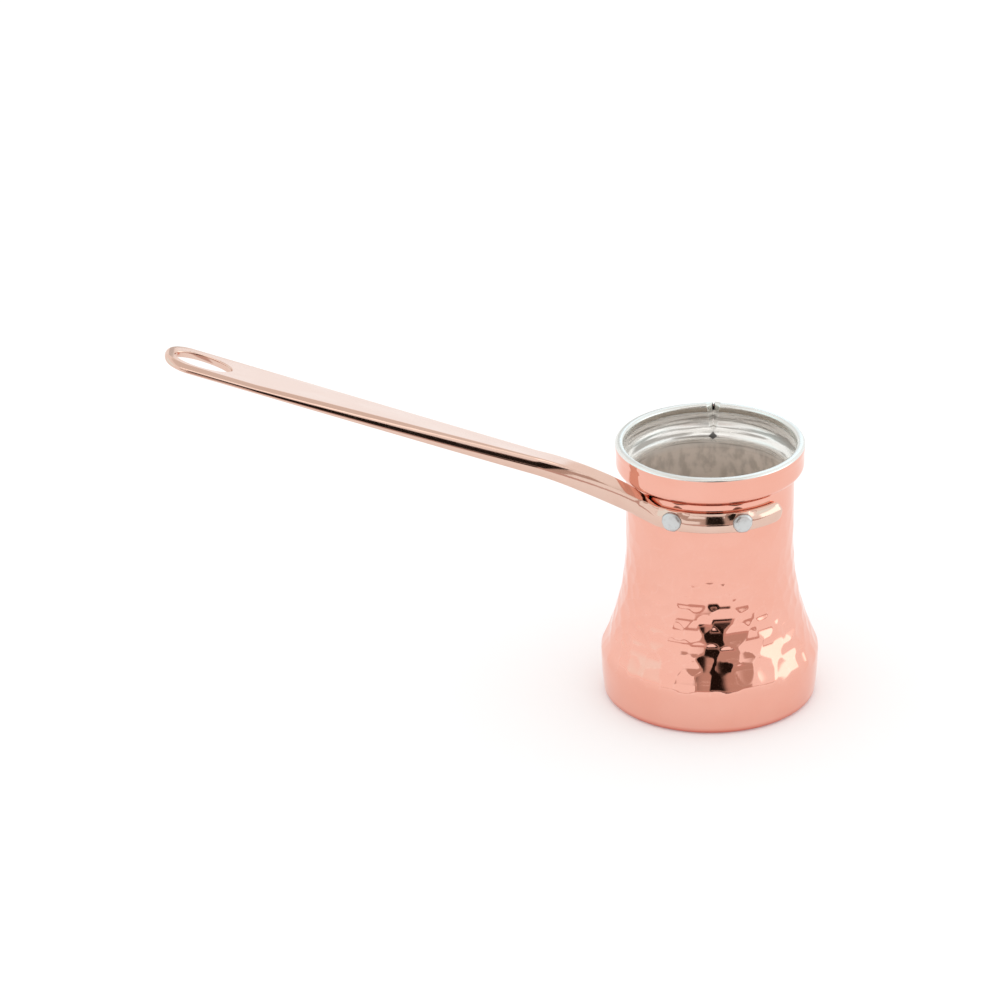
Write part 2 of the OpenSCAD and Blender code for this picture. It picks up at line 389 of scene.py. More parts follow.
@dataclass(frozen=True)
class WipedTin:
    """Bright hand-wiped tin on the lip, banded in the collar, and duller and browner down inside.

    Heights are in millimetres: the collar's look takes over from the lip's between lip_z and
    collar_z, and the look down inside takes over from the collar's between bright_z and deep_z.
    Down inside, the browner tone is also painted paler, as painted light for light falling in from above.
    """

    colour: Colour = (0.80, 0.81, 0.78)
    # Browner patina down inside, which is also painted light: it is paler, for the light that falls in
    # from above.
    deep: Colour = (0.93, 0.84, 0.76)
    stain: Colour = (0.60, 0.54, 0.48)
    brushed: Colour = (0.24, 0.215, 0.19)
    collar_tone: Colour = (0.98, 0.96, 0.92)
    # Painted shade: near black in the spout's notch across the lip and at the foot of its crease.
    seam: Colour = (0.03, 0.028, 0.026)
    stain_share: float = 0.35
    blot_share: float = 0.7
    brushed_share: float = 0.8
    collar_share: float = 0.85
    collar_metal: float = 0.45
    deep_metal: float = 0.40
    lip_z: float = 92.6
    collar_z: float = 91.6
    bright_z: float = 84.0
    deep_z: float = 79.0
    roughness: float = 0.2
    wipe_haze: float = 0.10
    deep_haze: float = 0.16
    grain_haze: float = 0.05
    spout_shade_haze: float = 0.4
    wipe: Grain = Grain(26.0, 26.0, 1.1, detail=5.0)
    blots: Grain = Grain(3.2, 3.2, 4.6, detail=5.0)
    grain: Grain = Grain(1.2, 1.2, 1.2, detail=5.0)
    wipe_relief: Relief = Relief(depth=0.05, strength=0.4)
    grain_relief: Relief = Relief(depth=0.03, strength=0.35)

    def material(self) -> bpy.types.Material:
        """Makes the tin's node material.

        Returns:
            The material.
        """
        book = NodeBook("wiped_tin")
        wipe = book.noise(self.wipe)
        blots = book.noise(self.blots)
        grain = book.noise(self.grain)
        seam = book.attribute("seam")
        collar = book.axis("Z").between(self.lip_z * MM, self.collar_z * MM)
        depth = book.axis("Z").between(self.bright_z * MM, self.deep_z * MM)
        tone = book.mix(wipe.between(0.42, 0.7) * self.stain_share, self.colour, self.stain)
        bands = book.mix(wipe.between(0.50, 0.62) * self.brushed_share, self.collar_tone, self.brushed)
        # Down inside: browner patina, painted paler as painted light from above.
        inside = book.mix(blots.between(0.38, 0.66) * self.blot_share, self.deep, self.stain)
        tone = book.mix(collar * self.collar_share, tone, bands)
        tone = book.mix(depth, tone, inside)
        # Painted shade in the spout's notch and at the foot of its crease.
        tone = book.mix(seam, tone, self.seam)
        rough = self.roughness + wipe.between(0.4, 0.7) * self.wipe_haze + depth * self.deep_haze
        rough = rough + grain * self.grain_haze + seam * self.spout_shade_haze
        normal = book.bump(wipe, self.wipe_relief)
        normal = book.bump(grain, self.grain_relief, normal)
        metal = 1.0 - collar * (1 - self.collar_metal) - depth * (self.collar_metal - self.deep_metal)
        return book.metal(tone, rough, normal, metal)


@dataclass(frozen=True)
class ForgedBronze:
    """Polished pinkish bronze with draw-file lines along the bar."""

    colour: Colour = (0.73, 0.505, 0.415)
    pale: Colour = (0.77, 0.575, 0.49)
    dull: Colour = (0.55, 0.36, 0.28)
    pale_share: float = 0.55
    pit_share: float = 0.35
    roughness: float = 0.06
    patch_haze: float = 0.05
    line_haze: float = 0.05
    lines: Grain = Grain(60.0, 0.35, 0.35, detail=4.0, turn=BAR_PITCH)
    patches: Grain = Grain(24.0, 9.0, 9.0, detail=4.0, turn=BAR_PITCH)
    pits: Grain = Grain(1.0, 0.7, 0.7, detail=2.0)
    line_relief: Relief = Relief(depth=0.012, strength=0.4)
    patch_relief: Relief = Relief(depth=0.06, strength=0.4)

    def material(self) -> bpy.types.Material:
        """Makes the bronze's node material.

        Returns:
            The material.
        """
        book = NodeBook("forged_bronze")
        lines = book.noise(self.lines)
        patches = book.noise(self.patches)
        pits = book.noise(self.pits)
        tone = book.mix(patches.between(0.4, 0.75) * self.pale_share, self.colour, self.pale)
        tone = book.mix(pits.between(0.66, 0.8) * self.pit_share, tone, self.dull)
        rough = self.roughness + patches.between(0.45, 0.8) * self.patch_haze + lines * self.line_haze
        normal = book.bump(lines, self.line_relief)
        normal = book.bump(patches, self.patch_relief, normal)
        return book.metal(tone, rough, normal)


@dataclass(frozen=True)
class TinnedRivet:
    """Satin tinned rivet metal with small dents, and painted shade that darkens the head's outer edge."""

    colour: Colour = (0.62, 0.64, 0.64)
    # Painted shade for the head's bevel and outer edge; the dents also darken towards it at random.
    edge: Colour = (0.30, 0.28, 0.27)
    edge_shade_from: float = 0.80
    edge_shade_share: float = 0.7
    dent_share: float = 0.3
    roughness: float = 0.30
    dent_haze: float = 0.12
    edge_haze: float = 0.15
    dents: Grain = Grain(1.5, 1.5, 1.5)
    grain: Grain = Grain(0.4, 0.4, 0.4)
    dent_relief: Relief = Relief(depth=0.12, strength=0.6)
    grain_relief: Relief = Relief(depth=0.02, strength=0.4)

    def material(self) -> bpy.types.Material:
        """Makes the rivets' node material.

        Returns:
            The material.
        """
        book = NodeBook("tinned_rivet")
        dents = book.noise(self.dents)
        grain = book.noise(self.grain)
        # Painted shade: the outer fifth of the head, its bevel, is darkened.
        rim = book.attribute("rim").between(self.edge_shade_from, 1.0)
        tone = book.mix(rim * self.edge_shade_share, self.colour, self.edge)
        tone = book.mix(dents.between(0.5, 0.75) * self.dent_share, tone, self.edge)
        rough = self.roughness + dents * self.dent_haze + rim * self.edge_haze
        normal = book.bump(dents, self.dent_relief)
        normal = book.bump(grain, self.grain_relief, normal)
        return book.metal(tone, rough, normal)


@dataclass(frozen=True)
class PaleFloor:
    """A plain pale studio floor with a little light of its own, so that shadows stay faint."""

    colour: Colour = (0.85, 0.85, 0.85)
    roughness: float = 0.9
    glow: float = 0.16

    def material(self) -> bpy.types.Material:
        """Makes the floor's node material.

        Returns:
            The material.
        """
        return NodeBook("pale_floor").finished("ShaderNodeBsdfPrincipled", {
            "Base Color": (*self.colour, 1.0), "Roughness": self.roughness, "Specular IOR Level": 0.0,
            "Emission Color": (1.0, 1.0, 1.0, 1.0), "Emission Strength": self.glow})


# ---------------------------------------------------------------- mesh building


class Skin:
    """Builds a closed mesh from a grid of points whose rows are closed rings."""

    def __init__(self, name: str, grid: np.ndarray) -> None:
        """Starts a mesh from rings of points.

        Args:
            name: the mesh's name.
            grid: the points, of shape (rows, columns, 3), in millimetres.
        """
        self.name = name
        self.grid = grid
        self.extra: dict[str, np.ndarray] = {}

    def store(self, name: str, values: np.ndarray) -> None:
        """Keeps one number for each grid point as a vertex attribute."""
        self.extra[name] = values

    def build(self, sharp_angle: float) -> bpy.types.Object:
        """Makes the object, closing both ends with a fan round a middle point.

        Args:
            sharp_angle: edges bent by more than this many degrees stay sharp.

        Returns:
            The new object, in metres, linked to the scene.
        """
        rows, columns, _ = self.grid.shape
        middles = self.grid[[0, -1]].mean(axis=1)
        points = np.vstack([self.grid.reshape(-1, 3), middles]) * MM
        index = np.arange(rows * columns).reshape(rows, columns)
        after = np.roll(index, -1, axis=1)
        quads = np.stack([index[:-1], after[:-1], after[1:], index[1:]], axis=-1).reshape(-1, 4)
        first, last = rows * columns, rows * columns + 1
        faces = quads.tolist()
        faces += [[first, b, a] for a, b in zip(index[0].tolist(), after[0].tolist())]
        faces += [[last, a, b] for a, b in zip(index[-1].tolist(), after[-1].tolist())]
        mesh = bpy.data.meshes.new(self.name)
        mesh.from_pydata(points.tolist(), [], faces)
        for name, values in self.extra.items():
            layer = mesh.attributes.new(name, "FLOAT", "POINT")
            stored = np.append(values.ravel(), values[[0, -1]].mean(axis=1))
            layer.data.foreach_set("value", stored.astype(np.float32))
        smooth(mesh, sharp_angle)
        return linked(self.name, mesh)


def linked(name: str, data: bpy.types.ID) -> bpy.types.Object:
    """Makes an object from a mesh or a camera and links it to the scene.

    Args:
        name: the object's name.
        data: its mesh or camera.

    Returns:
        The object.
    """
    made = bpy.data.objects.new(name, data)
    bpy.context.scene.collection.objects.link(made)
    return made


def flat_card(name: str, half_w: float, half_h: float, material: bpy.types.Material) -> bpy.types.Object:
    """Makes a flat oblong that faces up.

    Args:
        name: its name.
        half_w: half its width along X, in metres.
        half_h: half its height along Y, in metres.
        material: its material.

    Returns:
        The new object.
    """
    mesh = bpy.data.meshes.new(name)
    corners = [(-half_w, -half_h, 0), (half_w, -half_h, 0), (half_w, half_h, 0), (-half_w, half_h, 0)]
    mesh.from_pydata(corners, [], [(0, 1, 2, 3)])
    mesh.materials.append(material)
    return linked(name, mesh)


def smooth(mesh: bpy.types.Mesh, sharp_angle: float) -> None:
    """Shades a mesh smooth and keeps its sharp edges.

    Args:
        mesh: the mesh to shade.
        sharp_angle: edges bent by more than this many degrees stay sharp.
    """
    mesh.polygons.foreach_set("use_smooth", [True] * len(mesh.polygons))
    mesh.set_sharp_from_angle(angle=math.radians(sharp_angle))
    mesh.update()


def smoothstep(x: np.ndarray) -> np.ndarray:
    """A smooth rise from 0 to 1 while x goes from 0 to 1."""
    x = np.clip(x, 0.0, 1.0)
    return x * x * (3 - 2 * x)


def span(x: np.ndarray, ends: Pair) -> np.ndarray:
    """Where x lies between two ends, 0 at the first and 1 at the second."""
    return (x - ends[0]) / (ends[1] - ends[0])


def arc(centre: Pair, radius: float, start: float, end: float, count: int) -> np.ndarray:
    """Points along an arc in the radius and height plane.

    Args:
        centre: the arc's centre.
        radius: its radius.
        start: its first angle, in degrees.
        end: its last angle, in degrees.
        count: how many points it has.

    Returns:
        An array of (radius, height) points.
    """
    angle = np.radians(np.linspace(start, end, count))
    return np.stack([centre[0] + radius * np.cos(angle), centre[1] + radius * np.sin(angle)], axis=-1)


def line(start: Pair, end: Pair, count: int) -> np.ndarray:
    """Evenly spaced points from one point to another, without the last."""
    share = np.linspace(0.0, 1.0, count, endpoint=False)[:, None]
    return np.array(start) + share * (np.array(end) - np.array(start))


def with_share(points: Sequence, first: float, last: Optional[float] = None) -> np.ndarray:
    """Adds to outline points how far each takes part in the spout's inner side.

    Args:
        points: (radius, height) points.
        first: the first point's share, and every point's if last is left out.
        last: the last point's share.

    Returns:
        (radius, height, share) points.
    """
    rows = np.asarray(points, dtype=float)
    share = np.linspace(first, first if last is None else last, len(rows))
    return np.column_stack([rows, share])


def dress(piece: bpy.types.Object, node: str, material: bpy.types.Material) -> None:
    """Gives a piece its material and ties it to the frame.

    Args:
        piece: the finished piece.
        node: the CAD node that it stands for.
        material: its node material.
    """
    piece.data.materials.clear()
    piece.data.materials.append(material)
    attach(piece, BODY)
    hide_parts(node)


# ---------------------------------------------------------------- the body


@dataclass(frozen=True)
class HammerWork:
    """Rows of dished hammer marks, staggered like bricks round the flare and the belly.

    The first row is taller and more square than the others. Force is how hard a blow may fall
    beside depth, and lean how far a mark tilts, as a slope. A row is worked out over so many
    of its half heights, its reach, and a margin in millimetres.
    """

    round_count: int = 37
    first_row: float = 7.2
    row: float = 5.2
    rows: int = 12
    depth: float = 0.23
    force: Pair = (0.65, 1.3)
    overlap: float = 1.16
    stagger: float = 0.12
    wander: float = 0.24
    tall_wander: float = 0.6
    drift: float = 6.0
    first_drift: float = 1.5
    first_power: float = 4.0
    power: float = 2.0
    lean: float = 0.05
    reach: float = 2.6
    reach_margin: float = 1.5
    ridge_width: float = 0.035
    least_depth: float = 0.002
    seed: int = 11

    def marks(self, theta: np.ndarray, along: np.ndarray,
              radius: np.ndarray) -> tuple[np.ndarray, np.ndarray]:
        """Depth of the marks over the wall.

        Args:
            theta: the columns' angles round the body.
            along: the rows' distances up the wall from the marks' lower border.
            radius: the rows' radii.

        Returns:
            How far the surface is beaten in, and how near each point is to the ridges, which places the
            copper's painted highlight.
        """
        chance = np.random.default_rng(self.seed)
        lowest = np.zeros((len(along), len(theta)))
        second = np.zeros_like(lowest)
        step = FULL_TURN / self.round_count
        for row in range(self.rows):
            first = row == 0
            half = (self.first_row if first else self.row) / 2
            middle = half if first else self.first_row + (row - 0.5) * self.row
            drift = self.first_drift * half if first else self.drift
            power = self.first_power if first else self.power
            shift = 0.5 * (row % 2) + chance.uniform(-self.stagger, self.stagger)
            # Four draws place and size each blow; the fifth is spare and keeps the later draws' order.
            draws = chance.uniform(-self.wander, self.wander, (5, self.round_count))
            across, up, wider, taller, _ = draws
            force = self.depth * chance.uniform(*self.force, self.round_count)
            lean_across, lean_up = chance.normal(0.0, self.lean, (2, self.round_count))
            near = np.abs(along - middle) < self.reach * half + self.reach_margin
            r = radius[near][:, None]
            base = np.floor(theta / step - shift).astype(int)
            for neighbour in (-1, 0, 1, 2):
                blow = (base + neighbour) % self.round_count
                centre = (base + neighbour + shift + across[blow]) * step
                du = (theta - centre)[None] * r
                dv = along[near][:, None] - middle - up[blow][None] * drift
                wide = step * r / 2 * self.overlap * (1 + wider[blow])
                tall = half * self.overlap * (1 + self.tall_wander * taller[blow])
                dish = force[blow] * (-1 + (du / wide) ** 2 + np.abs(dv / tall) ** power)
                dish = dish + lean_across[blow] * du + lean_up[blow] * dv
                low = lowest[near]
                second[near] = np.where(dish < low, low, np.minimum(second[near], dish))
                lowest[near] = np.minimum(low, dish)
        # Nearness to the ridges, which places the painted highlight on the copper.
        ridge_highlight = 1 - smoothstep((second - lowest) / self.ridge_width)
        return -lowest, np.where(lowest < -self.least_depth, ridge_highlight, 0.0)


@dataclass(frozen=True)
class PotShape:
    """The body's outline and its spout, in millimetres, shared by the copper and the tin.

    The hammer marks weaken up the neck, from neck_marks on, and are gone at the end of
    marks_fade. The spout is given by how far it pulls the collar out and the lip down, and by a
    notch across the lip; spout shade and spot are painted shade in that notch and at the spout's foot.
    """

    height: float
    belly_r: float
    rim_r: float = 32.7
    neck_r: float = 29.1
    foot_r: float = 37.1
    foot_round: float = 2.2
    wall: float = 1.6
    film: float = 0.3
    collar_h: float = 7.6
    belly_z: float = 16.0
    shoulder_z: float = 19.0
    flare_top: float = 60.5
    flare_power: float = 2.25
    bend_out: float = 2.6
    bend_in: float = 2.0
    hollow_out: float = 5.3
    hollow_in: float = 2.7
    lip_w: float = 2.9
    lip_depth: float = 2.7
    lip_round: float = 1.05
    cap_h: float = 0.8
    inner_round: float = 4.0
    hub_r: float = 0.4
    marks_from: float = 17.0
    neck_marks: Pair = (40.0, 62.0)
    neck_share: float = 0.5
    marks_fade: Pair = (68.0, 80.0)
    spout_out: float = 1.0
    spout_in: float = 2.9
    spout_dip: float = 0.5
    spout_h: float = 9.6
    spout_half: float = 2.6
    spout_power: float = 1.3
    spout_step: float = 1.2
    step_rise: float = 1.3
    crease_power: float = 1.25
    swell_spread: float = 1.6
    notch_half: float = 0.5
    notch_depth: float = 1.3
    spout_shade_half: float = 0.484
    spout_shade_soft: float = 0.22
    spout_shade_rise: float = 0.4
    spot_drop: float = 1.2
    spot_half_h: float = 1.5
    spot_half_w: float = 2.3
    spot_share: float = 0.9
    spout_angle: float = math.radians(85.3)
    spout_reach: float = 0.16
    spout_crowding: float = 0.45
    columns: int = 352
    spout_columns: int = 48
    hammer: HammerWork = field(default_factory=HammerWork)

    @classmethod
    def from_frame(cls) -> "PotShape":
        """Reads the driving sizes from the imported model's nodes.

        Returns:
            The shape.
        """
        rim_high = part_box("tin_lining")[1]
        belly_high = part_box("pot_body")[1]
        return cls(height=rim_high.z / MM, belly_r=min(belly_high.x, belly_high.y) / MM)

    @property
    def collar_r(self) -> float:
        """Outer radius of the collar, just inside the lip."""
        return self.rim_r - 0.2

    @property
    def flare_run(self) -> float:
        """Height of the flare above the shoulder."""
        return self.flare_top - self.shoulder_z

    @property
    def flare_depth(self) -> float:
        """How far the flare widens from the neck down to the shoulder."""
        slope = (self.shoulder_z - self.belly_z) * self.flare_power / (2 * self.flare_run)
        return (self.belly_r - self.neck_r) / (1 + slope)

    @property
    def bend_angle(self) -> float:
        """How far each arc of the collar's S-bend turns, in degrees."""
        step = (self.collar_r - self.neck_r) / (self.bend_out + self.bend_in)
        return math.degrees(math.acos(1 - step))

    @property
    def lip_z(self) -> float:
        """Height of the lip's lower edge."""
        return self.height - self.lip_depth

    @property
    def cap_z(self) -> float:
        """Height at which the copper ends and the lip's tin cap begins."""
        return self.height - self.cap_h

    @property
    def bend_top(self) -> float:
        """Height of the top of the S-bend."""
        return self.height - self.collar_h

    @property
    def bend_foot(self) -> float:
        """Height of the foot of the S-bend."""
        return self.bend_top - (self.bend_out + self.bend_in) * math.sin(math.radians(self.bend_angle))

    def body_r(self, z: np.ndarray) -> np.ndarray:
        """Outer radius between the bottom edge and the top of the neck.

        Args:
            z: heights.

        Returns:
            The radius at each height.
        """
        fall = (self.belly_r - self.neck_r - self.flare_depth) / (self.shoulder_z - self.belly_z) ** 2
        band = (self.belly_z - z) / (self.belly_z - self.foot_round)
        low = self.belly_r - (self.belly_r - self.foot_r) * band ** 2
        arch = self.belly_r - fall * (z - self.belly_z) ** 2
        climb = np.clip((self.flare_top - z) / self.flare_run, 0.0, None)
        flare = self.neck_r + self.flare_depth * climb ** self.flare_power
        return np.where(z < self.belly_z, low, np.where(z < self.shoulder_z, arch, flare))

    def wall_line(self, start: float, inset: float, step: float) -> np.ndarray:
        """Points of the wall from a height up to the foot of the S-bend.

        Args:
            start: the first height.
            inset: how far the line lies inside the outer surface.
            step: spacing of the points.

        Returns:
            An array of (radius, height) points.
        """
        z = np.arange(start, self.bend_foot - step / 2, step)
        return np.stack([self.body_r(z) - inset, z], axis=-1)

    def corner_r(self, inset: float) -> float:
        """Radius of the centre of the floor's round corner, for a wall line inset by so much."""
        return float(self.body_r(np.array(inset + self.inner_round))) - inset - self.inner_round

    def bend_line(self, count: int) -> np.ndarray:
        """The collar's outer S-bend from the neck outwards.

        Args:
            count: points in each of its two arcs.

        Returns:
            An array of (radius, height) points.
        """
        inner = arc((self.neck_r + self.bend_in, self.bend_foot), self.bend_in,
                    180.0, 180.0 - self.bend_angle, count)
        outer = arc((self.collar_r - self.bend_out, self.bend_top), self.bend_out,
                    -self.bend_angle, 0.0, count)
        return np.vstack([inner, outer[1:]])

    def hollow_line(self, film: float, count: int) -> np.ndarray:
        """The collar's inner S-bend, rounder than the outer one.

        Args:
            film: thickness of the tin on the copper, 0 for the copper itself.
            count: points in each of its two arcs.

        Returns:
            An array of (radius, height) points.
        """
        radii = self.hollow_in + self.hollow_out
        turn = math.acos(1 - (self.collar_r - self.neck_r) / radii)
        top = self.bend_foot + radii * math.sin(turn)
        inner = arc((self.neck_r - self.wall + self.hollow_in, self.bend_foot), self.hollow_in + film,
                    180.0, 180.0 - math.degrees(turn), count)
        outer = arc((self.collar_r - self.wall - self.hollow_out, top), self.hollow_out - film,
                    -math.degrees(turn), 0.0, count)
        return np.vstack([inner, outer[1:]])

    def angles(self) -> np.ndarray:
        """Spaces the columns, closer together at the spout.

        Returns:
            Their angles round the body.
        """
        reach = self.spout_reach
        around = np.linspace(self.spout_angle + reach, self.spout_angle + FULL_TURN - reach, self.columns)
        share = np.linspace(-1.0, 1.0, self.spout_columns + 2)[1:-1]
        bent = self.spout_crowding * share + (1 - self.spout_crowding) * share ** 3
        return np.concatenate([around, self.spout_angle + FULL_TURN + reach * bent])

    def off_spout(self, theta: np.ndarray) -> np.ndarray:
        """How far round the rim each column is from the spout's middle, as one row."""
        return np.abs(np.angle(np.exp(1j * (theta - self.spout_angle))))[None] * self.rim_r

    def spout(self, theta: np.ndarray, profile: np.ndarray) -> tuple[np.ndarray, np.ndarray]:
        """The pinched spout, as shifts of the plain round surface.

        Args:
            theta: the columns' angles.
            profile: (radius, height, share) rows; the share is 0 outside the collar, 1 inside.

        Returns:
            Outward and upward shifts, of shape (rows, columns).
        """
        off = self.off_spout(theta)
        climb = (profile[:, 1:2] - self.height + self.spout_h) / self.spout_h
        rise = np.clip(climb, 0.0, 1.05)
        share = profile[:, 2:]
        half = self.spout_half * (0.5 + 0.5 * rise)
        crease = np.clip(1 - off / half, 0.0, 1.0) ** self.crease_power
        swell = np.cos(np.clip(off / (self.swell_spread * half), 0.0, 1.0) * math.pi / 2) ** 2
        pinch = swell + share * (crease - swell)
        foot = self.spout_step * smoothstep(climb * self.spout_h / self.step_rise) * share
        pull = self.spout_out + share * (self.spout_in - self.spout_out)
        out = (foot + (pull - self.spout_step * share) * rise ** self.spout_power) * pinch
        notch = self.notch_depth * np.clip(1 - off / self.notch_half, 0.0, 1.0)
        top_quarter = np.clip((rise - 0.75) * 4, 0.0, 1.0)
        return out, -(self.spout_dip * crease + notch) * top_quarter ** 2

    def seam(self, theta: np.ndarray, profile: np.ndarray) -> np.ndarray:
        """Where painted shade darkens the spout: a line in the notch across the lip and a spot at its
        foot.

        Args:
            theta: the columns' angles.
            profile: (radius, height, share) rows.

        Returns:
            The painted shade, of shape (rows, columns).
        """
        off = self.off_spout(theta)
        z = profile[:, 1:2]
        # Painted shade: a line in the notch over the lip, and a spot where the spout's crease ends
        # inside.
        on_lip = smoothstep((z - self.lip_z + self.spout_shade_rise) / self.spout_shade_rise)
        over_lip = on_lip * smoothstep((self.spout_shade_half - off) / self.spout_shade_soft)
        spot_z = self.height - self.spout_h - self.spot_drop
        spot = 1 - np.abs(z - spot_z) / self.spot_half_h - off / self.spot_half_w
        return np.maximum(over_lip, self.spot_share * smoothstep(spot * 3) * profile[:, 2:])

    def marks(self, theta: np.ndarray, profile: np.ndarray) -> tuple[np.ndarray, np.ndarray]:
        """Depth of the hammer marks and the ridges' places over a wall line.

        Args:
            theta: the columns' angles.
            profile: (radius, height) rows of the wall.

        Returns:
            Depth and the share of the painted highlight on the ridges, of shape (rows, columns).
        """
        step = np.hypot(*np.diff(profile, axis=0).T)
        along = np.concatenate([[0.0], np.cumsum(step)])
        along -= np.interp(self.marks_from, profile[:, 1], along)
        depth, ridge_highlight = self.hammer.marks(theta, along, profile[:, 0])
        z = profile[:, 1][:, None]
        weaker = 1 - (1 - self.neck_share) * smoothstep(span(z, self.neck_marks))
        share = weaker * (1 - smoothstep(span(z, self.marks_fade)))
        return depth * share, ridge_highlight * share

    def revolve(self, theta: np.ndarray, profile: np.ndarray, inward: np.ndarray) -> np.ndarray:
        """Turns an outline into rings of points, beaten in and pulled out.

        Args:
            theta: the columns' angles.
            profile: (radius, height, share) rows.
            inward: how far each point is moved in, of shape (rows, columns).

        Returns:
            Points of shape (rows, columns, 3).
        """
        out, up = self.spout(theta, profile)
        radius = profile[:, :1] + out - inward
        height = profile[:, 1:2] + up
        return np.stack([radius * np.cos(theta), radius * np.sin(theta),
                         height + np.zeros_like(radius)], axis=-1)


@dataclass(frozen=True)
class CopperBody:
    """The raised copper body, with its hammered wall, smooth band, collar and spout."""

    shape: PotShape
    finish: HammeredCopper = field(default_factory=HammeredCopper)
    wall_step: float = 0.56
    inner_step: float = 2.5
    underside_hollow: float = 0.35
    hollow_ring: Pair = (0.86, 0.93)
    band_top: float = 9.0
    lip_foot: float = 0.5
    sharp_angle: float = 50.0

    def outline(self) -> tuple[np.ndarray, slice]:
        """The copper's whole outline and where the hammered wall lies in it.

        Returns:
            (radius, height, share) rows from the underside's middle round to the floor's
            middle, and the slice of rows on the outer wall.
        """
        s = self.shape
        flat_r = s.foot_r - s.foot_round
        ring_in, ring_out = (flat_r * share for share in self.hollow_ring)
        under = line((s.hub_r, self.underside_hollow), (ring_in, self.underside_hollow), 5)
        ring = line((ring_in, self.underside_hollow), (ring_out, 0.0), 3)
        edge = arc((flat_r, s.foot_round), s.foot_round, -90.0, -8.0, 9)
        band = line((s.foot_r, s.foot_round), (s.foot_r, self.band_top), 5)
        band[:, 0] = s.body_r(band[:, 1])
        walls = s.wall_line(self.band_top, 0.0, self.wall_step)
        collar = line((s.collar_r, s.bend_top), (s.collar_r, s.lip_z), 8)[1:]
        lip = line((s.rim_r, s.lip_z + self.lip_foot), (s.rim_r, s.cap_z), 5)
        inner_r = s.rim_r - s.lip_w + s.film
        top = [[s.rim_r, s.cap_z], [s.rim_r - s.lip_w / 2, s.cap_z], [inner_r, s.cap_z - 0.1]]
        before = [under, ring, edge, band]
        first = sum(len(part) for part in before)
        outer = np.vstack(before + [walls, s.bend_line(12), collar, lip])
        over_top = with_share(top, 0.0, 1.0)
        rows = np.vstack([with_share(outer, 0.0), over_top, with_share(self.inside(), 1.0)])
        return rows, slice(first, first + len(walls))

    def inside(self) -> np.ndarray:
        """The copper's inner outline.

        Returns:
            (radius, height) points from under the lip down to the floor's middle.
        """
        s = self.shape
        floor_z = s.wall + s.inner_round
        return np.vstack([
            [[s.rim_r - s.lip_w + s.film, s.lip_z]],
            [[s.collar_r - s.wall, s.lip_z - 0.8]],
            s.hollow_line(0.0, 7)[::-1],
            s.wall_line(floor_z, s.wall, self.inner_step)[::-1],
            arc((s.corner_r(s.wall), floor_z), s.inner_round, -10.0, -90.0, 6),
            [[s.hub_r, s.wall]],
        ])

    def build(self) -> bpy.types.Object:
        """Builds and dresses the body.

        Returns:
            The finished piece.
        """
        s = self.shape
        theta = s.angles()
        profile, walls = self.outline()
        inward = np.zeros((len(profile), len(theta)))
        ridge_highlight = np.zeros_like(inward)
        inward[walls], ridge_highlight[walls] = s.marks(theta, profile[walls])
        skin = Skin("copper_body", s.revolve(theta, profile, inward))
        # This mask carries the copper's painted highlight on the ridges.
        skin.store("ridge_highlight", ridge_highlight)
        piece = skin.build(self.sharp_angle)
        dress(piece, "pot_body", self.finish.material())
        return piece


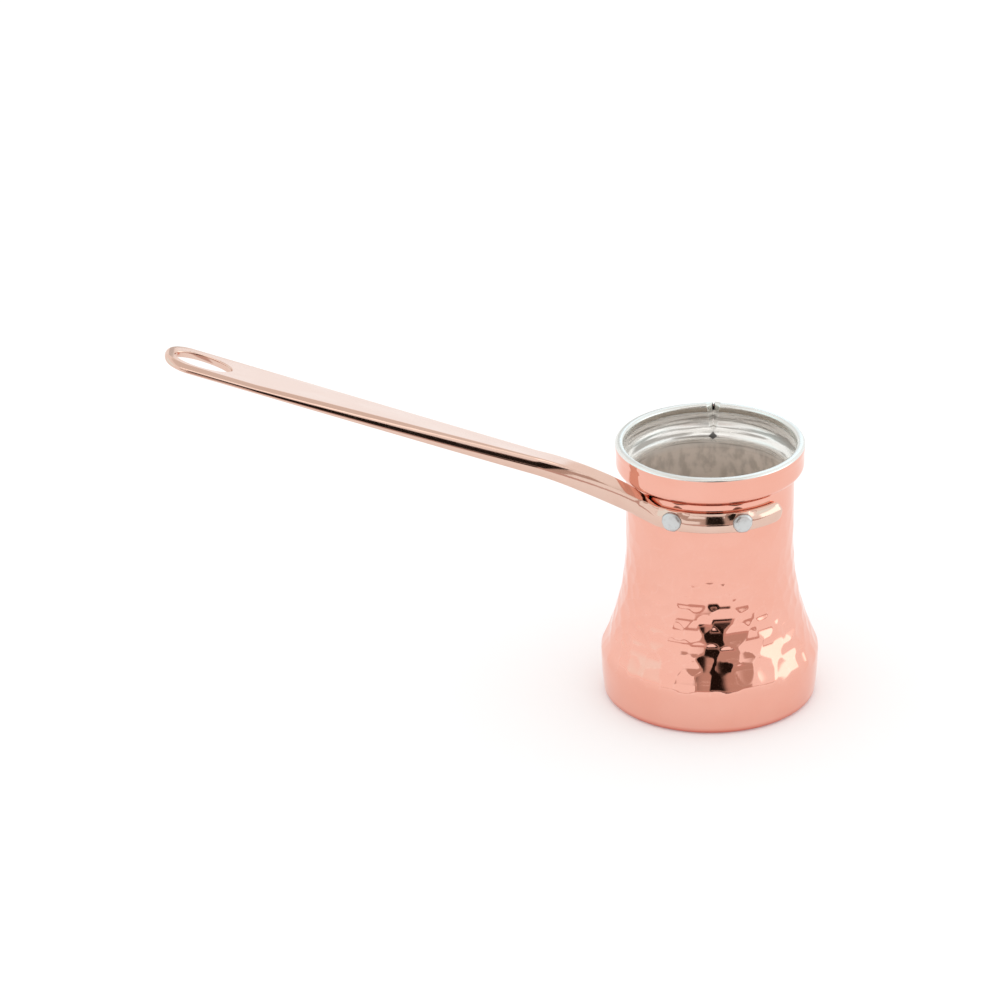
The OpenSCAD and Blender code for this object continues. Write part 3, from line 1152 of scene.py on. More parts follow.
@dataclass(frozen=True)
class TinLining:
    """The tin film on the whole inside, and the bright rounded cap of the lip."""

    shape: PotShape
    finish: WipedTin = field(default_factory=WipedTin)
    echo: float = 0.35
    wall_step: float = 0.9
    hidden_step: float = 2.5
    collar_gap: float = 1.1
    tuck_r: float = 0.5
    bead_r: float = 0.6
    bead_drop: float = 0.3
    sharp_angle: float = 55.0

    def outline(self) -> tuple[np.ndarray, slice]:
        """The tin's whole outline and where the plain wall lies in it.

        Returns:
            (radius, height, share) rows from the floor's middle up, over the lip and down
            behind, and the slice of rows on the inner wall.
        """
        s = self.shape
        inset = s.wall + s.film
        corner = s.corner_r(inset)
        lip_r = s.rim_r - s.lip_w
        collar_z = s.lip_z - self.collar_gap
        round_z = s.height - s.lip_round
        floor = line((s.hub_r, inset), (corner, inset), 10)
        edge = arc((corner, inset + s.inner_round), s.inner_round, -90.0, -5.0, 8)
        walls = s.wall_line(inset + s.inner_round, inset, self.wall_step)
        bend = s.hollow_line(s.film, 14)
        collar = line(tuple(bend[-1]), (s.collar_r - inset, collar_z), 4)[1:]
        under_lip = arc((s.collar_r - inset - self.tuck_r, collar_z), self.tuck_r, 0.0, 70.0, 4)
        bead_z = s.lip_z + self.bead_r
        bead = arc((lip_r + self.bead_r, bead_z - self.bead_drop), self.bead_r, 250.0, 180.0, 5)
        face = line((lip_r, bead_z), (lip_r, round_z), 4)[1:]
        over_in = arc((lip_r + s.lip_round, round_z), s.lip_round, 180.0, 95.0, 9)
        over_out = arc((s.rim_r - s.lip_round, round_z), s.lip_round, 85.0, 14.0, 9)
        before = [floor, edge]
        first = sum(len(part) for part in before)
        inner = np.vstack(before + [walls, bend, collar, under_lip, bead, face, over_in])
        over_top = with_share(over_out, 0.7, 0.0)
        rows = np.vstack([with_share(inner, 1.0), over_top, self.behind(lip_r, corner)])
        return rows, slice(first, first + len(walls))

    def behind(self, lip_r: float, corner: float) -> np.ndarray:
        """The hidden side of the tin, from the cap's outer edge down to the floor's middle.

        Args:
            lip_r: the lip's inner radius.
            corner: radius of the floor corner's centre.

        Returns:
            (radius, height, share) rows.
        """
        s = self.shape
        floor_z = s.wall + s.inner_round
        cap = [[s.rim_r, s.cap_z], [s.rim_r - 0.25, s.cap_z - 0.12], [s.rim_r - 0.6, s.cap_z]]
        back_lip = [[lip_r + s.film + 0.2, s.cap_z], [lip_r + s.film, s.lip_z + 0.4],
                    [s.collar_r - s.wall, s.lip_z - 0.6]]
        walls = s.wall_line(floor_z, s.wall, self.hidden_step)[::-1]
        edge = arc((corner, floor_z), s.inner_round + s.film, -10.0, -90.0, 6)
        edge[:, 1] = np.maximum(edge[:, 1], s.wall)
        bend = s.hollow_line(0.0, 7)[::-1]
        hidden = np.vstack([back_lip, bend, walls, edge, [[s.hub_r, s.wall]]])
        return np.vstack([with_share(cap, 0.0), with_share(hidden, 1.0)])

    def build(self) -> bpy.types.Object:
        """Builds and dresses the lining.

        Returns:
            The finished piece.
        """
        s = self.shape
        theta = s.angles()
        profile, walls = self.outline()
        inward = np.zeros((len(profile), len(theta)))
        inward[walls] = self.echo * s.marks(theta, profile[walls])[0]
        skin = Skin("tin_inside", s.revolve(theta, profile, inward))
        # The spout's painted shade goes on the tin.
        skin.store("seam", s.seam(theta, profile))
        piece = skin.build(self.sharp_angle)
        dress(piece, "tin_lining", self.finish.material())
        return piece


# ---------------------------------------------------------------- the handle


@dataclass(frozen=True)
class Crown:
    """How a side of the handle is crowned from its top to its bottom, in degrees above level."""

    top: float
    bottom: float
    ease: float = 1.0

    def leans(self, count: int) -> np.ndarray:
        """Which way the side faces, from its bottom up.

        Args:
            count: how many directions it is split into.

        Returns:
            The directions above level, in radians.
        """
        high = math.sin(math.radians(self.top))
        low = math.sin(math.radians(self.bottom))
        fall = np.linspace(1.0, 0.0, count) ** self.ease
        return np.arcsin(high + (low - high) * fall)

    def towards(self, other: "Crown", share: float) -> "Crown":
        """A crown part of the way to another one.

        Args:
            other: the crown at share 1.
            share: how far towards it.

        Returns:
            The crown between them.
        """
        return Crown(self.top + (other.top - self.top) * share,
                     self.bottom + (other.bottom - self.bottom) * share,
                     self.ease + (other.ease - self.ease) * share)


@dataclass(frozen=True)
class Station:
    """One cross-section of the handle.

    Its front faces away from the pot. Both sides are crowned, and a small arris turns them
    over into the flat top and bottom.
    """

    centre: np.ndarray
    run: np.ndarray
    half_w: float
    half_h: float
    front: Crown
    back: Crown
    arris: float

    def side_points(self, crown: Crown, count: int) -> tuple[np.ndarray, np.ndarray]:
        """One crowned side with its two arrises, from the bottom up.

        Args:
            crown: how the side leans.
            count: points on the side, and on each arris.

        Returns:
            Distances out from the section's middle, and heights.
        """
        leans = crown.leans(count)
        arris = min(self.arris, 0.5 * self.half_h)
        above = arris * (1 - math.sin(leans[-1]))
        below = arris * (1 + math.sin(leans[0]))
        up = np.linspace(-self.half_h + below, self.half_h - above, count)
        slopes = -np.tan((leans[1:] + leans[:-1]) / 2) * np.diff(up)
        out = np.concatenate([[0.0], np.cumsum(slopes)])
        over = np.linspace(leans[-1], math.pi / 2, count)[1:]
        under = np.linspace(-math.pi / 2, leans[0], count)[:-1]
        out = np.concatenate([out[0] - arris * (math.cos(leans[0]) - np.cos(under)), out,
                              out[-1] - arris * (math.cos(leans[-1]) - np.cos(over))])
        up = np.concatenate([up[0] - arris * (math.sin(leans[0]) - np.sin(under)), up,
                             up[-1] + arris * (np.sin(over) - math.sin(leans[-1]))])
        out = np.maximum(self.half_w + out - out.max(), 0.02 * self.half_w)
        return out, up

    def ring(self, count: int = 9, flats: int = 7) -> np.ndarray:
        """Points round the section.

        Args:
            count: points on a side, and on each arris.
            flats: points on the top, and on the bottom.

        Returns:
            Points in millimetres.
        """
        side = unit(np.cross(self.run, [0.0, 0.0, 1.0]))
        top = np.cross(side, self.run)
        back_x, back_y = self.side_points(self.back, count)
        front_x, front_y = self.side_points(self.front, count)
        across = np.linspace(back_x[-1], -front_x[-1], flats + 2)[1:-1]
        across_under = np.linspace(-front_x[0], back_x[0], flats + 2)[1:-1]
        level = np.full(flats, self.half_h)
        x = np.concatenate([back_x, across, -front_x[::-1], across_under])
        y = np.concatenate([back_y, level, front_y[::-1], -level])
        return self.centre + x[:, None] * side + y[:, None] * top


@dataclass(frozen=True)
class ForgedHandle:
    """One forged bar: a strap round the neck, an S-curve off it, a tapering bar and a paddle.

    Angles go round the neck from the strap's middle, and a pull is how far a curve runs on in
    its end's direction. The root's back edge hugs the neck for its first share before it
    leaves. The strap lies flatter, by press_share, within press_half degrees of a rivet. The
    paddle's crowned end stands tip_lean beyond the tip. Each slot level is a depth below the
    face and how much wider the slot is there.
    """

    strap_z: float
    neck_r: float
    reach: float
    finish: ForgedBronze = field(default_factory=ForgedBronze)
    rivet_angles: Pair = (-27.0, 18.0)
    seat_gap: float = 0.03
    strap_t: float = 2.5
    strap_h: float = 7.0
    strap_end: float = 50.0
    root_angle: float = 38.0
    root_pull: float = 5.0
    hug_angle: float = 50.0
    hug_share: float = 0.3
    hug_power: float = 1.4
    hug_pull: float = 3.0
    press_half: float = 7.0
    press_share: float = 0.6
    bar_x: float = 60.0
    bar_y: float = -9.4
    bar_rise: float = 14.4
    bar_slope: float = 0.336
    bar_pull: float = 14.0
    tip_y: float = -7.6
    tip_lean: float = 0.13
    tip_round: float = 9.0
    root_w: float = 6.7
    paddle_w: float = 16.6
    paddle_t: float = 2.55
    taper_from: float = 40.0
    taper_to: float = 155.0
    slot_len: float = 20.0
    slot_w: float = 10.2
    slot_margin: float = 3.3
    slot_ease: float = 0.35
    slot_peak: float = 0.45
    slot_levels: tuple[Pair, ...] = ((0.18, 0.17), (0.45, 0.03), (0.7, 0.0))
    strap_front: Crown = Crown(48.0, -24.0)
    strap_back: Crown = Crown(8.0, -8.0)
    bar_front: Crown = Crown(46.0, -34.0)
    bar_back: Crown = Crown(28.0, -28.0)
    tip_front: Crown = Crown(60.0, -6.0, 2.3)
    strap_arris: float = 0.35
    bar_arris: float = 0.5
    end_sections: int = 14
    strap_sections: int = 70
    root_sections: int = 46
    bar_sections: int = 70
    tip_sections: int = 25
    sharp_angle: float = 26.0

    @classmethod
    def from_frame(cls, shape: PotShape) -> "ForgedHandle":
        """Reads the strap's height and the handle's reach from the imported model's nodes.

        Args:
            shape: the pot that the strap goes round.

        Returns:
            The handle.
        """
        strap_low, strap_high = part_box("right_rivet")
        reach = -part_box("handle")[0].x / MM - cls.tip_lean
        return cls(strap_z=(strap_low.z + strap_high.z) / 2 / MM, neck_r=shape.neck_r, reach=reach)

    @property
    def seat_r(self) -> float:
        """Inner radius of the strap."""
        return self.neck_r + self.seat_gap

    @property
    def strap_out(self) -> float:
        """Outer radius of the strap."""
        return self.seat_r + self.strap_t

    @property
    def mid_r(self) -> float:
        """Radius of the strap's middle."""
        return self.seat_r + self.strap_t / 2

    @property
    def bar_start(self) -> np.ndarray:
        """Where the straight bar begins."""
        return np.array([-self.bar_x, self.bar_y, self.strap_z + self.bar_rise])

    @property
    def tip(self) -> np.ndarray:
        """The far end of the paddle."""
        rise = self.bar_rise + self.bar_slope * (self.reach - self.bar_x)
        return np.array([-self.reach, self.tip_y, self.strap_z + rise])

    @property
    def bar_aim(self) -> np.ndarray:
        """The straight bar's direction."""
        return unit(self.tip - self.bar_start)

    def strap_station(self, angle: float, half_h: float, half_t: float) -> Station:
        """A section of the strap, which lies flatter under a rivet's head.

        Args:
            angle: angle round the neck, in degrees.
            half_h: half the strap's height there.
            half_t: half its thickness there.

        Returns:
            The section.
        """
        a = math.radians(angle)
        centre = np.array([self.mid_r * math.sin(a), -self.mid_r * math.cos(a), self.strap_z])
        pressed = max(math.exp(-((angle - r) / self.press_half) ** 4) for r in self.rivet_angles)
        front = self.strap_front.towards(self.strap_back, self.press_share * pressed)
        return Station(centre, np.array([-math.cos(a), -math.sin(a), 0.0]), half_t, half_h, front,
                       self.strap_back, self.strap_arris)

    def stations(self) -> list[Station]:
        """All the handle's sections, from the strap's free end to the tip."""
        return [*self.strap_stations(), *self.root_stations(), *self.bar_stations(), *self.tip_stations()]

    def strap_stations(self) -> list[Station]:
        """The strap, from its rounded free end to the root.

        Returns:
            Its sections.
        """
        made = []
        end_run = math.degrees(self.strap_h / 2 / self.mid_r)
        for share in np.linspace(0.06, 1.0, self.end_sections):
            u = math.cos(math.pi / 2 * share)
            round_off = math.sqrt(1 - u * u)
            half_t = self.strap_t / 2 * min(1.0, 0.45 + 0.75 * round_off)
            angle = self.strap_end - end_run * (1 - u)
            made.append(self.strap_station(angle, self.strap_h / 2 * round_off, half_t))
        for angle in np.linspace(self.strap_end - end_run, -self.root_angle, self.strap_sections)[1:]:
            made.append(self.strap_station(float(angle), self.strap_h / 2, self.strap_t / 2))
        return made

    def taper(self, x: float, start: float, end: float) -> float:
        """A size that changes evenly along the bar, at a place on X."""
        share = (-x - self.taper_from) / (self.taper_to - self.taper_from)
        return start + (end - start) * min(max(share, 0), 1)

    def width(self, x: float) -> float:
        """The bar's width at a place on X."""
        return self.taper(x, self.root_w, self.paddle_w)

    def height(self, x: float) -> float:
        """The bar's height at a place on X."""
        return self.taper(x, self.strap_h, self.paddle_t)

    def bar_station(self, centre: np.ndarray, run: np.ndarray, width: float, height: float,
                    share: float) -> Station:
        """A section of the bar.

        Args:
            centre: its middle.
            run: the bar's direction.
            width: its whole width.
            height: its whole height.
            share: 0 for the strap's section, 1 for the bar's, 2 for the paddle's.

        Returns:
            The section.
        """
        early = min(share, 1.0)
        front = self.strap_front.towards(self.bar_front, early)
        if share > 1:
            front = self.bar_front.towards(self.tip_front, share - 1)
        back = self.strap_back.towards(self.bar_back, early)
        arris = self.strap_arris + (self.bar_arris - self.strap_arris) * early
        return Station(centre, run, width / 2, height / 2, front, back, arris)

    def root_front(self, t: float) -> np.ndarray:
        """The root's front edge in plan, straight off the strap; t goes from 0 to 1."""
        start, run = self.on_neck(self.root_angle, self.strap_out)
        return self.onto_bar(start, self.root_pull * run, 1, t)

    def root_back(self, t: float) -> np.ndarray:
        """The root's back edge in plan, which hugs the neck before it leaves.

        Args:
            t: how far along the root, from 0 to 1.

        Returns:
            The place.
        """
        if t < self.hug_share:
            share = (t / self.hug_share) ** self.hug_power
            angle = self.root_angle + (self.hug_angle - self.root_angle) * share
            return self.on_neck(angle, self.seat_r)[0]
        start, run = self.on_neck(self.hug_angle, self.seat_r)
        late = (t - self.hug_share) / (1 - self.hug_share)
        return self.onto_bar(start, self.hug_pull * run, -1, late)

    def onto_bar(self, start: np.ndarray, pull: np.ndarray, side: int, t: float) -> np.ndarray:
        """A curve in plan from the neck to one edge of the straight bar's start.

        Args:
            start: where the curve begins.
            pull: how it sets off.
            side: 1 for the bar's front edge, -1 for its back edge.
            t: how far along, from 0 to 1.

        Returns:
            The place.
        """
        aim = unit(self.bar_aim[:2])
        across = np.array([-aim[1], aim[0]])
        end = self.bar_start[:2] + side * self.width(-self.bar_x) / 2 * across
        return bezier(start, start + pull, end - self.bar_pull * aim, end, t)

    @staticmethod
    def on_neck(angle: float, radius: float) -> tuple[np.ndarray, np.ndarray]:
        """A point round the neck towards the handle, in plan, and the run there.

        Args:
            angle: angle from the strap's middle towards the handle, in degrees.
            radius: distance from the pot's axis.

        Returns:
            The point and the direction of the run.
        """
        a = math.radians(angle)
        return (radius * np.array([-math.sin(a), -math.cos(a)]), np.array([-math.cos(a), math.sin(a)]))

    def root_stations(self) -> list[Station]:
        """The root, which swells from the strap into the bar and rises off the neck.

        Returns:
            Its sections.
        """
        rise_end = self.bar_rise - self.bar_slope * self.bar_pull
        step = 0.01
        made = []
        for t in steps(self.root_sections):
            front, back = self.root_front(t), self.root_back(t)
            side = unit(back - front)
            rise = bezier(0.0, 0.0, rise_end, self.bar_rise, t)
            centre = np.append((front + back) / 2, self.strap_z + rise)
            ahead = (self.root_front(t + step) + self.root_back(t + step) - front - back) / 2
            climb = bezier(0.0, 0.0, rise_end, self.bar_rise, t + step) - rise
            run = unit(np.array([-side[1], side[0], climb / np.linalg.norm(ahead)]))
            width = float(np.linalg.norm(back - front))
            made.append(self.bar_station(centre, run, width, self.height(centre[0]), t))
        return made

    def bar_stations(self) -> list[Station]:
        """The straight bar, up to the paddle's rounded tip.

        Returns:
            Its sections.
        """
        length = float(np.linalg.norm(self.tip - self.bar_start)) - self.tip_round
        made = []
        for share in steps(self.bar_sections):
            centre = self.bar_start + length * share * self.bar_aim
            width, height = self.width(centre[0]), self.height(centre[0])
            made.append(self.bar_station(centre, self.bar_aim, width, height, 1.0 + share))
        return made

    def tip_stations(self) -> list[Station]:
        """The paddle's rounded tip.

        Returns:
            Its sections.
        """
        made = []
        for share in steps(self.tip_sections):
            u = math.sin(math.pi / 2 * share)
            width = self.paddle_w * math.sqrt(max(1 - u * u, 0.0025))
            height = self.paddle_t * max(math.sqrt(1 - u ** 10), 0.3)
            centre = self.tip - self.tip_round * (1 - u) * self.bar_aim
            made.append(self.bar_station(centre, self.bar_aim, width, height, 2.0))
        return made

    def slot_outline(self, out: float) -> np.ndarray:
        """The egg-shaped slot's outline in the paddle's plane.

        Args:
            out: how far it is moved outwards, for the eased edge.

        Returns:
            (along, across) points from the tip.
        """
        u = (1 - np.cos(np.linspace(0.0, math.pi, 49))) / 2
        end = np.where(u < self.slot_peak, self.slot_peak, 1 - self.slot_peak)
        half = (self.slot_w / 2) * np.sqrt(np.clip(1 - ((u - self.slot_peak) / end) ** 2, 0.0, 1.0))
        length = self.slot_len + 2 * out
        x = self.slot_margin - out + u * length
        grown = half * (1 + 2 * out / self.slot_w)
        return np.vstack([np.stack([x, grown], -1), np.stack([x[-2:0:-1], -grown[-2:0:-1]], -1)])

    def slot_cutter(self) -> bpy.types.Object:
        """A plug of the slot's shape, flared at both faces so that the cut's edges are eased.

        Returns:
            The plug.
        """
        half = self.paddle_t / 2
        faces = ((-0.5, self.slot_ease + 0.6), (0.0, self.slot_ease))
        levels = [(depth - half, out) for depth, out in faces + self.slot_levels]
        levels += [(-z, out) for z, out in levels[::-1]]
        side = unit(np.cross(self.bar_aim, [0.0, 0.0, 1.0]))
        top = np.cross(side, self.bar_aim)
        rows = []
        for z, out in levels:
            flat = self.slot_outline(out)
            rows.append(self.tip - flat[:, :1] * self.bar_aim + flat[:, 1:] * side + z * top)
        return Skin("slot_cutter", np.array(rows)).build(self.sharp_angle)

    def build(self) -> bpy.types.Object:
        """Builds and dresses the handle.

        Returns:
            The finished piece.
        """
        rings = np.array([station.ring() for station in self.stations()])
        piece = Skin("forged_handle", rings).build(self.sharp_angle)
        cut(piece, self.slot_cutter())
        smooth(piece.data, self.sharp_angle)
        dress(piece, "handle", self.finish.material())
        return piece


def unit(v: np.ndarray) -> np.ndarray:
    """A vector's direction."""
    return v / np.linalg.norm(v)


def steps(count: int) -> list[float]:
    """So many even steps from 0 up to 1, without the 0."""
    return np.linspace(0.0, 1.0, count + 1)[1:].tolist()


def bezier(a: Point, b: Point, c: Point, d: Point, t: float) -> Point:
    """A place on a cubic curve.

    Args:
        a: the curve's start.
        b: the point that it sets off towards.
        c: the point that it comes from at its end.
        d: its end.
        t: how far along, from 0 to 1.

    Returns:
        The place.
    """
    s = 1 - t
    return s ** 3 * a + 3 * s * s * t * b + 3 * s * t * t * c + t ** 3 * d


def cut(piece: bpy.types.Object, cutter: bpy.types.Object) -> None:
    """Cuts one object out of another and removes the cutter.

    Args:
        piece: the object that keeps what is left.
        cutter: the object that is cut out, then removed.
    """
    for side in (piece, cutter):
        face_out(side.data)
    change = piece.modifiers.new("cut", "BOOLEAN")
    change.operation = "DIFFERENCE"
    change.object = cutter
    change.solver = "EXACT"
    bpy.context.view_layer.update()
    graph = bpy.context.evaluated_depsgraph_get()
    mesh = bpy.data.meshes.new_from_object(piece.evaluated_get(graph))
    piece.modifiers.clear()
    piece.data = mesh
    bpy.data.objects.remove(cutter)


def face_out(mesh: bpy.types.Mesh) -> None:
    """Turns a closed mesh's faces outwards.

    Args:
        mesh: the mesh to turn.
    """
    work = bmesh.new()
    work.from_mesh(mesh)
    bmesh.ops.recalc_face_normals(work, faces=work.faces)
    work.to_mesh(mesh)
    work.free()


# ---------------------------------------------------------------- the rivets


@dataclass(frozen=True)
class Rivet:
    """One rivet: a flattened, bevelled outer head, its shank, and the head closed over inside.

    The outer head is a little uneven: it is hammered into a few facets, waves slightly in and
    out, and its top leans.
    """

    side: Side
    angle: float
    strap_z: float
    strap_out: float
    lining_r: float
    seed: int
    finish: TinnedRivet = field(default_factory=TinnedRivet)
    head_r: float = 3.6
    head_h: float = 1.15
    edge_h: float = 0.55
    bevel: float = 0.75
    inner_r: float = 3.0
    inner_h: float = 0.75
    shank_r: float = 1.75
    hub_r: float = 0.2
    columns: int = 64
    facets: int = 8
    facet_share: float = 0.55
    facet_wander: float = 0.12
    waves: Pair = (0.012, 0.01)
    lean: float = 0.025
    sharp_angle: float = 38.0

    def outline(self) -> np.ndarray:
        """The rivet's outline from the middle of its inner head to the middle of its outer.

        Returns:
            (radius, distance from the pot's axis) rows.
        """
        under, top = self.lining_r - self.inner_h, self.strap_out + self.head_h
        inner = [[self.hub_r, under], [self.inner_r * 0.5, under + 0.05],
                 [self.inner_r * 0.82, under + 0.2], [self.inner_r * 0.97, self.lining_r - 0.35],
                 [self.inner_r, self.lining_r - 0.05], [self.inner_r * 0.97, self.lining_r + 0.05]]
        shank = [[self.shank_r, self.lining_r + 0.1], [self.shank_r, self.strap_out - 0.1]]
        edge = [[self.head_r * 0.97, self.strap_out - 0.06], [self.head_r, self.strap_out + 0.04],
                [self.head_r, self.strap_out + self.edge_h * 0.6],
                [self.head_r - 0.08, self.strap_out + self.edge_h],
                [self.head_r - 0.3, self.strap_out + self.edge_h + 0.25]]
        bevel_r = self.head_r - self.bevel
        face = [[bevel_r, top - 0.16], [bevel_r - 0.35, top - 0.06],
                [self.head_r * 0.45, top - 0.01], [self.hub_r, top]]
        return np.array(inner + shank + edge + face)

    def facet_shape(self, turn: np.ndarray, phase: float) -> np.ndarray:
        """How the outer head's radius varies round it.

        Args:
            turn: the columns' angles round the rivet.
            phase: where the facets start.

        Returns:
            The radius at each angle, as a share of the plain round one.
        """
        step = FULL_TURN / self.facets
        local = (turn + phase + self.facet_wander * np.sin(2 * turn + phase)) % step - step / 2
        facet = math.cos(step / 2) / np.cos(local)
        uneven = 1 + self.waves[0] * np.sin(3 * turn + phase) + self.waves[1] * np.sin(5 * turn)
        return (1 - self.facet_share + self.facet_share * facet / facet.max()) * uneven

    def build(self) -> bpy.types.Object:
        """Builds and dresses the rivet.

        Returns:
            The finished piece.
        """
        chance = np.random.default_rng(self.seed)
        rows = self.outline()
        turn = np.linspace(0.0, FULL_TURN, self.columns, endpoint=False)
        shape = self.facet_shape(turn, chance.uniform(0.0, FULL_TURN))
        outer = (rows[:, 1] > self.strap_out - 0.08)[:, None]
        radius = np.minimum(rows[:, :1] * np.where(outer, shape, 1.0), self.head_r)
        across, up = radius * np.cos(turn), radius * np.sin(turn)
        away = rows[:, 1:] + np.zeros_like(across)
        seat = np.sqrt(np.clip(self.strap_out ** 2 - across ** 2, 0.0, None)) - self.strap_out
        low = np.clip(1 - (away - self.strap_out) / self.head_h, 0.0, 1.0) * outer
        away = away + seat * low
        lean_across, lean_up = chance.normal(0.0, self.lean, 2)
        high = np.clip((away - self.strap_out) / self.head_h, 0.0, 1.0) * outer
        away = away + high * (lean_across * across + lean_up * up)
        away = np.minimum(away, self.strap_out + self.head_h)
        a = math.radians(self.angle)
        outward = np.array([math.sin(a), -math.cos(a), 0.0])
        level = np.array([math.cos(a), math.sin(a), 0.0])
        grid = (away[..., None] * outward + across[..., None] * level
                + (up[..., None] + self.strap_z) * np.array([0.0, 0.0, 1.0]))
        skin = Skin(self.side.value + "_metal", grid)
        # The rim share also places the painted shade on the head's outer edge.
        skin.store("rim", np.clip(radius / self.head_r, 0.0, 1.0))
        piece = skin.build(self.sharp_angle)
        dress(piece, self.side.value, self.finish.material())
        return piece


# ---------------------------------------------------------------- the studio

SURROUND = 1.08

# The light that the cards give off, which only the metal mirrors.
DIM = (0.58, 0.46, 0.41)
RED_DIM = (0.66, 0.48, 0.44)
BLACK = (0.012, 0.008, 0.006)
PALE_SKY = (1.22, 1.40, 1.52)
COOL_SKY = (1.05, 1.24, 1.27)
CEILING = (0.86, 0.83, 0.80)
HIGH = (1.7, 1.7, 1.66)
WHITE = (SURROUND, SURROUND, SURROUND)
BRIGHT = (1.9, 1.9, 1.9)
GREY = (0.72, 0.72, 0.71)


@dataclass(frozen=True)
class GlowCard:
    """A flat card that only reflections see, with soft edges that fade into the surroundings.

    Sizes are in metres. A card with nothing to face lies flat on the floor.
    """

    name: str
    place: tuple[float, float, float]
    size: tuple[float, float]
    glow: Colour
    facing: Optional[tuple[float, float, float]] = None
    soft: float = 0.3
    around: Colour = WHITE

    def material(self) -> bpy.types.Material:
        """Makes the card's node material.

        Returns:
            The material.
        """
        book = NodeBook(self.name)
        half_w, half_h = self.size[0] / 2, self.size[1] / 2
        inner = 1 - self.soft
        share = book.axis("X").size().between(half_w, half_w * inner)
        share = share * book.axis("Y").size().between(half_h, half_h * inner)
        light = book.mix(share, self.around, self.glow)
        return book.finished("ShaderNodeEmission", {"Color": light, "Strength": 1.0})

    def build(self) -> bpy.types.Object:
        """Places the card.

        Returns:
            The card, part of the stage.
        """
        card = flat_card(self.name, self.size[0] / 2, self.size[1] / 2, self.material())
        place = Vector(self.place)
        card.matrix_world = Matrix.Translation(place)
        if self.facing is not None:
            turn = (Vector(self.facing) - place).to_track_quat("Z", "Y").to_matrix().to_4x4()
            card.matrix_world = Matrix.Translation(place) @ turn
        card.visible_camera = False
        card.visible_diffuse = False
        card.visible_shadow = False
        card.visible_transmission = False
        return card


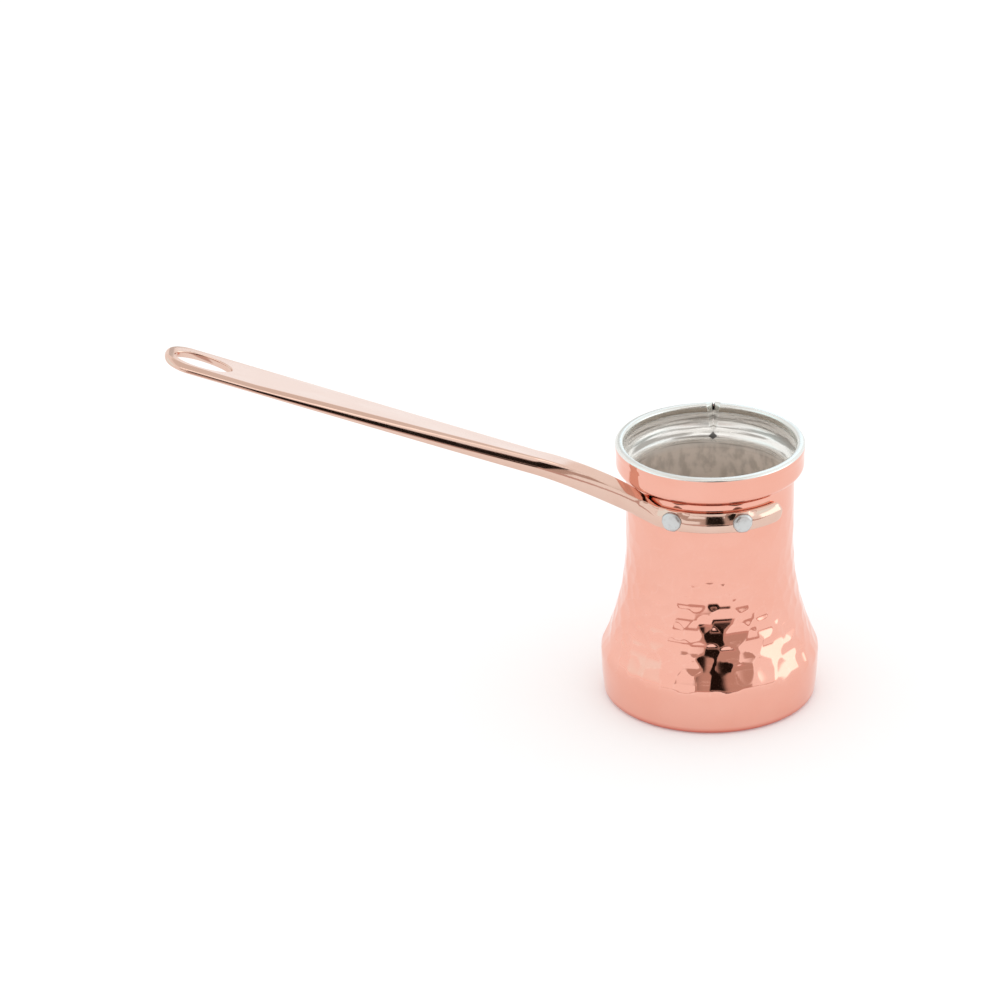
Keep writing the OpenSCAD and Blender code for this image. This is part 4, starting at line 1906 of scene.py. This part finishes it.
@dataclass(frozen=True)
class Studio:
    """A pale floor, white surroundings, the cards they are broken by, and the camera, in metres."""

    elevation: float = 25.1
    distance: float = 1.76
    aim_right: float = -0.0726
    aim_up: float = 0.0667
    roll: float = -0.97
    lens: float = 180.0
    surround: float = SURROUND
    floor_half: float = 4.0
    floor: PaleFloor = field(default_factory=PaleFloor)
    cards: tuple[GlowCard, ...] = (
        GlowCard("floor_end", (0.33, -0.76, 0.001), (1.36, 1.02), RED_DIM, soft=0.08),
        GlowCard("room_low", (0.38, -1.26, 0.21), (1.46, 0.44), DIM, (0.38, 0.0, 0.21), 0.06),
        GlowCard("room", (0.03, -1.27, 0.63), (2.2, 0.54), DIM, (0.03, 0.0, 0.63), 0.25),
        GlowCard("dark_floor", (0.04, -0.45, 0.002), (0.17, 0.34), BLACK, soft=0.15, around=DIM),
        GlowCard("dark_gap", (0.04, -0.62, 0.30), (0.27, 0.62), BLACK, (0.04, 0.0, 0.30), 0.2, DIM),
        GlowCard("side_light", (1.19, -0.17, 0.24), (1.0, 0.50), BRIGHT, (0.0, 0.0, 0.05), 0.2),
        GlowCard("left_sky", (-1.40, -0.10, 0.60), (1.7, 1.2), COOL_SKY, (0.0, -0.10, 0.10), 0.5),
        GlowCard("right_sky", (1.55, -0.10, 0.60), (2.0, 1.3), COOL_SKY, (0.0, -0.10, 0.10), 0.5),
        GlowCard("back_light", (0.24, 1.12, 0.50), (0.44, 0.80), PALE_SKY, (0.24, 0.0, 0.10), 0.3),
        GlowCard("back_dim", (-0.02, 1.30, 0.55), (0.42, 1.10), GREY, (-0.02, 0.0, 0.10), 0.4),
        GlowCard("high_light", (0.0, -0.62, 0.98), (1.0, 0.20), HIGH, (0.0, 0.0, 0.08), 0.4, CEILING),
        GlowCard("ceiling", (0.0, -0.25, 1.30), (1.8, 1.3), CEILING, (0.0, -0.25, 0.0), 0.4),
    )

    def camera(self) -> bpy.types.Object:
        """Places the camera.

        Returns:
            The camera object.
        """
        e, turn = math.radians(self.elevation), math.radians(self.roll)
        forward = Vector((0.0, math.cos(e), -math.sin(e)))
        right = Vector((1.0, 0.0, 0.0))
        up = right.cross(forward)
        target = right * self.aim_right + up * self.aim_up
        level = math.cos(turn) * right + math.sin(turn) * up
        upright = math.cos(turn) * up - math.sin(turn) * right
        data = bpy.data.cameras.new("camera")
        data.lens = self.lens
        data.sensor_width = 36.0
        data.clip_start = 0.05
        data.clip_end = 50.0
        made = linked("camera", data)
        turned = Matrix((level, upright, -forward)).transposed().to_4x4()
        made.matrix_world = Matrix.Translation(target - forward * self.distance) @ turned
        bpy.context.scene.camera = made
        return made

    def surroundings(self) -> None:
        """Makes the plain white surroundings and sets plain colour handling."""
        world = bpy.data.worlds.new("studio")
        world.use_nodes = True
        back = world.node_tree.nodes["Background"]
        back.inputs["Color"].default_value = (1.0, 1.0, 1.0, 1.0)
        back.inputs["Strength"].default_value = self.surround
        bpy.context.scene.world = world
        bpy.context.scene.view_settings.view_transform = "Standard"
        bpy.context.scene.view_settings.look = "None"

    def ground(self) -> bpy.types.Object:
        """Lays the floor.

        Returns:
            The floor.
        """
        floor = flat_card("floor", self.floor_half, self.floor_half, self.floor.material())
        return floor

    def build(self) -> None:
        """Sets up the whole studio round the pot."""
        self.surroundings()
        self.ground()
        for card in self.cards:
            card.build()
        self.camera()


def report(piece: bpy.types.Object) -> None:
    """Logs a finished piece's name and face count."""
    log.info("%s: %d faces", piece.name, len(piece.data.polygons))


def main() -> None:
    """Builds the pot's pieces in order, then the studio."""
    logging.basicConfig(level=logging.INFO, format="%(name)s: %(message)s")
    shape = PotShape.from_frame()
    handle = ForgedHandle.from_frame(shape)
    lining_r = shape.neck_r - shape.wall - shape.film
    report(CopperBody(shape).build())
    report(TinLining(shape).build())
    report(handle.build())
    for seed, (side, angle) in enumerate(zip(Side, handle.rivet_angles), start=3):
        rivet = Rivet(side, angle, handle.strap_z, handle.strap_out, lining_r, seed)
        report(rivet.build())
    Studio().build()


if __name__ == "__main__":
    main()
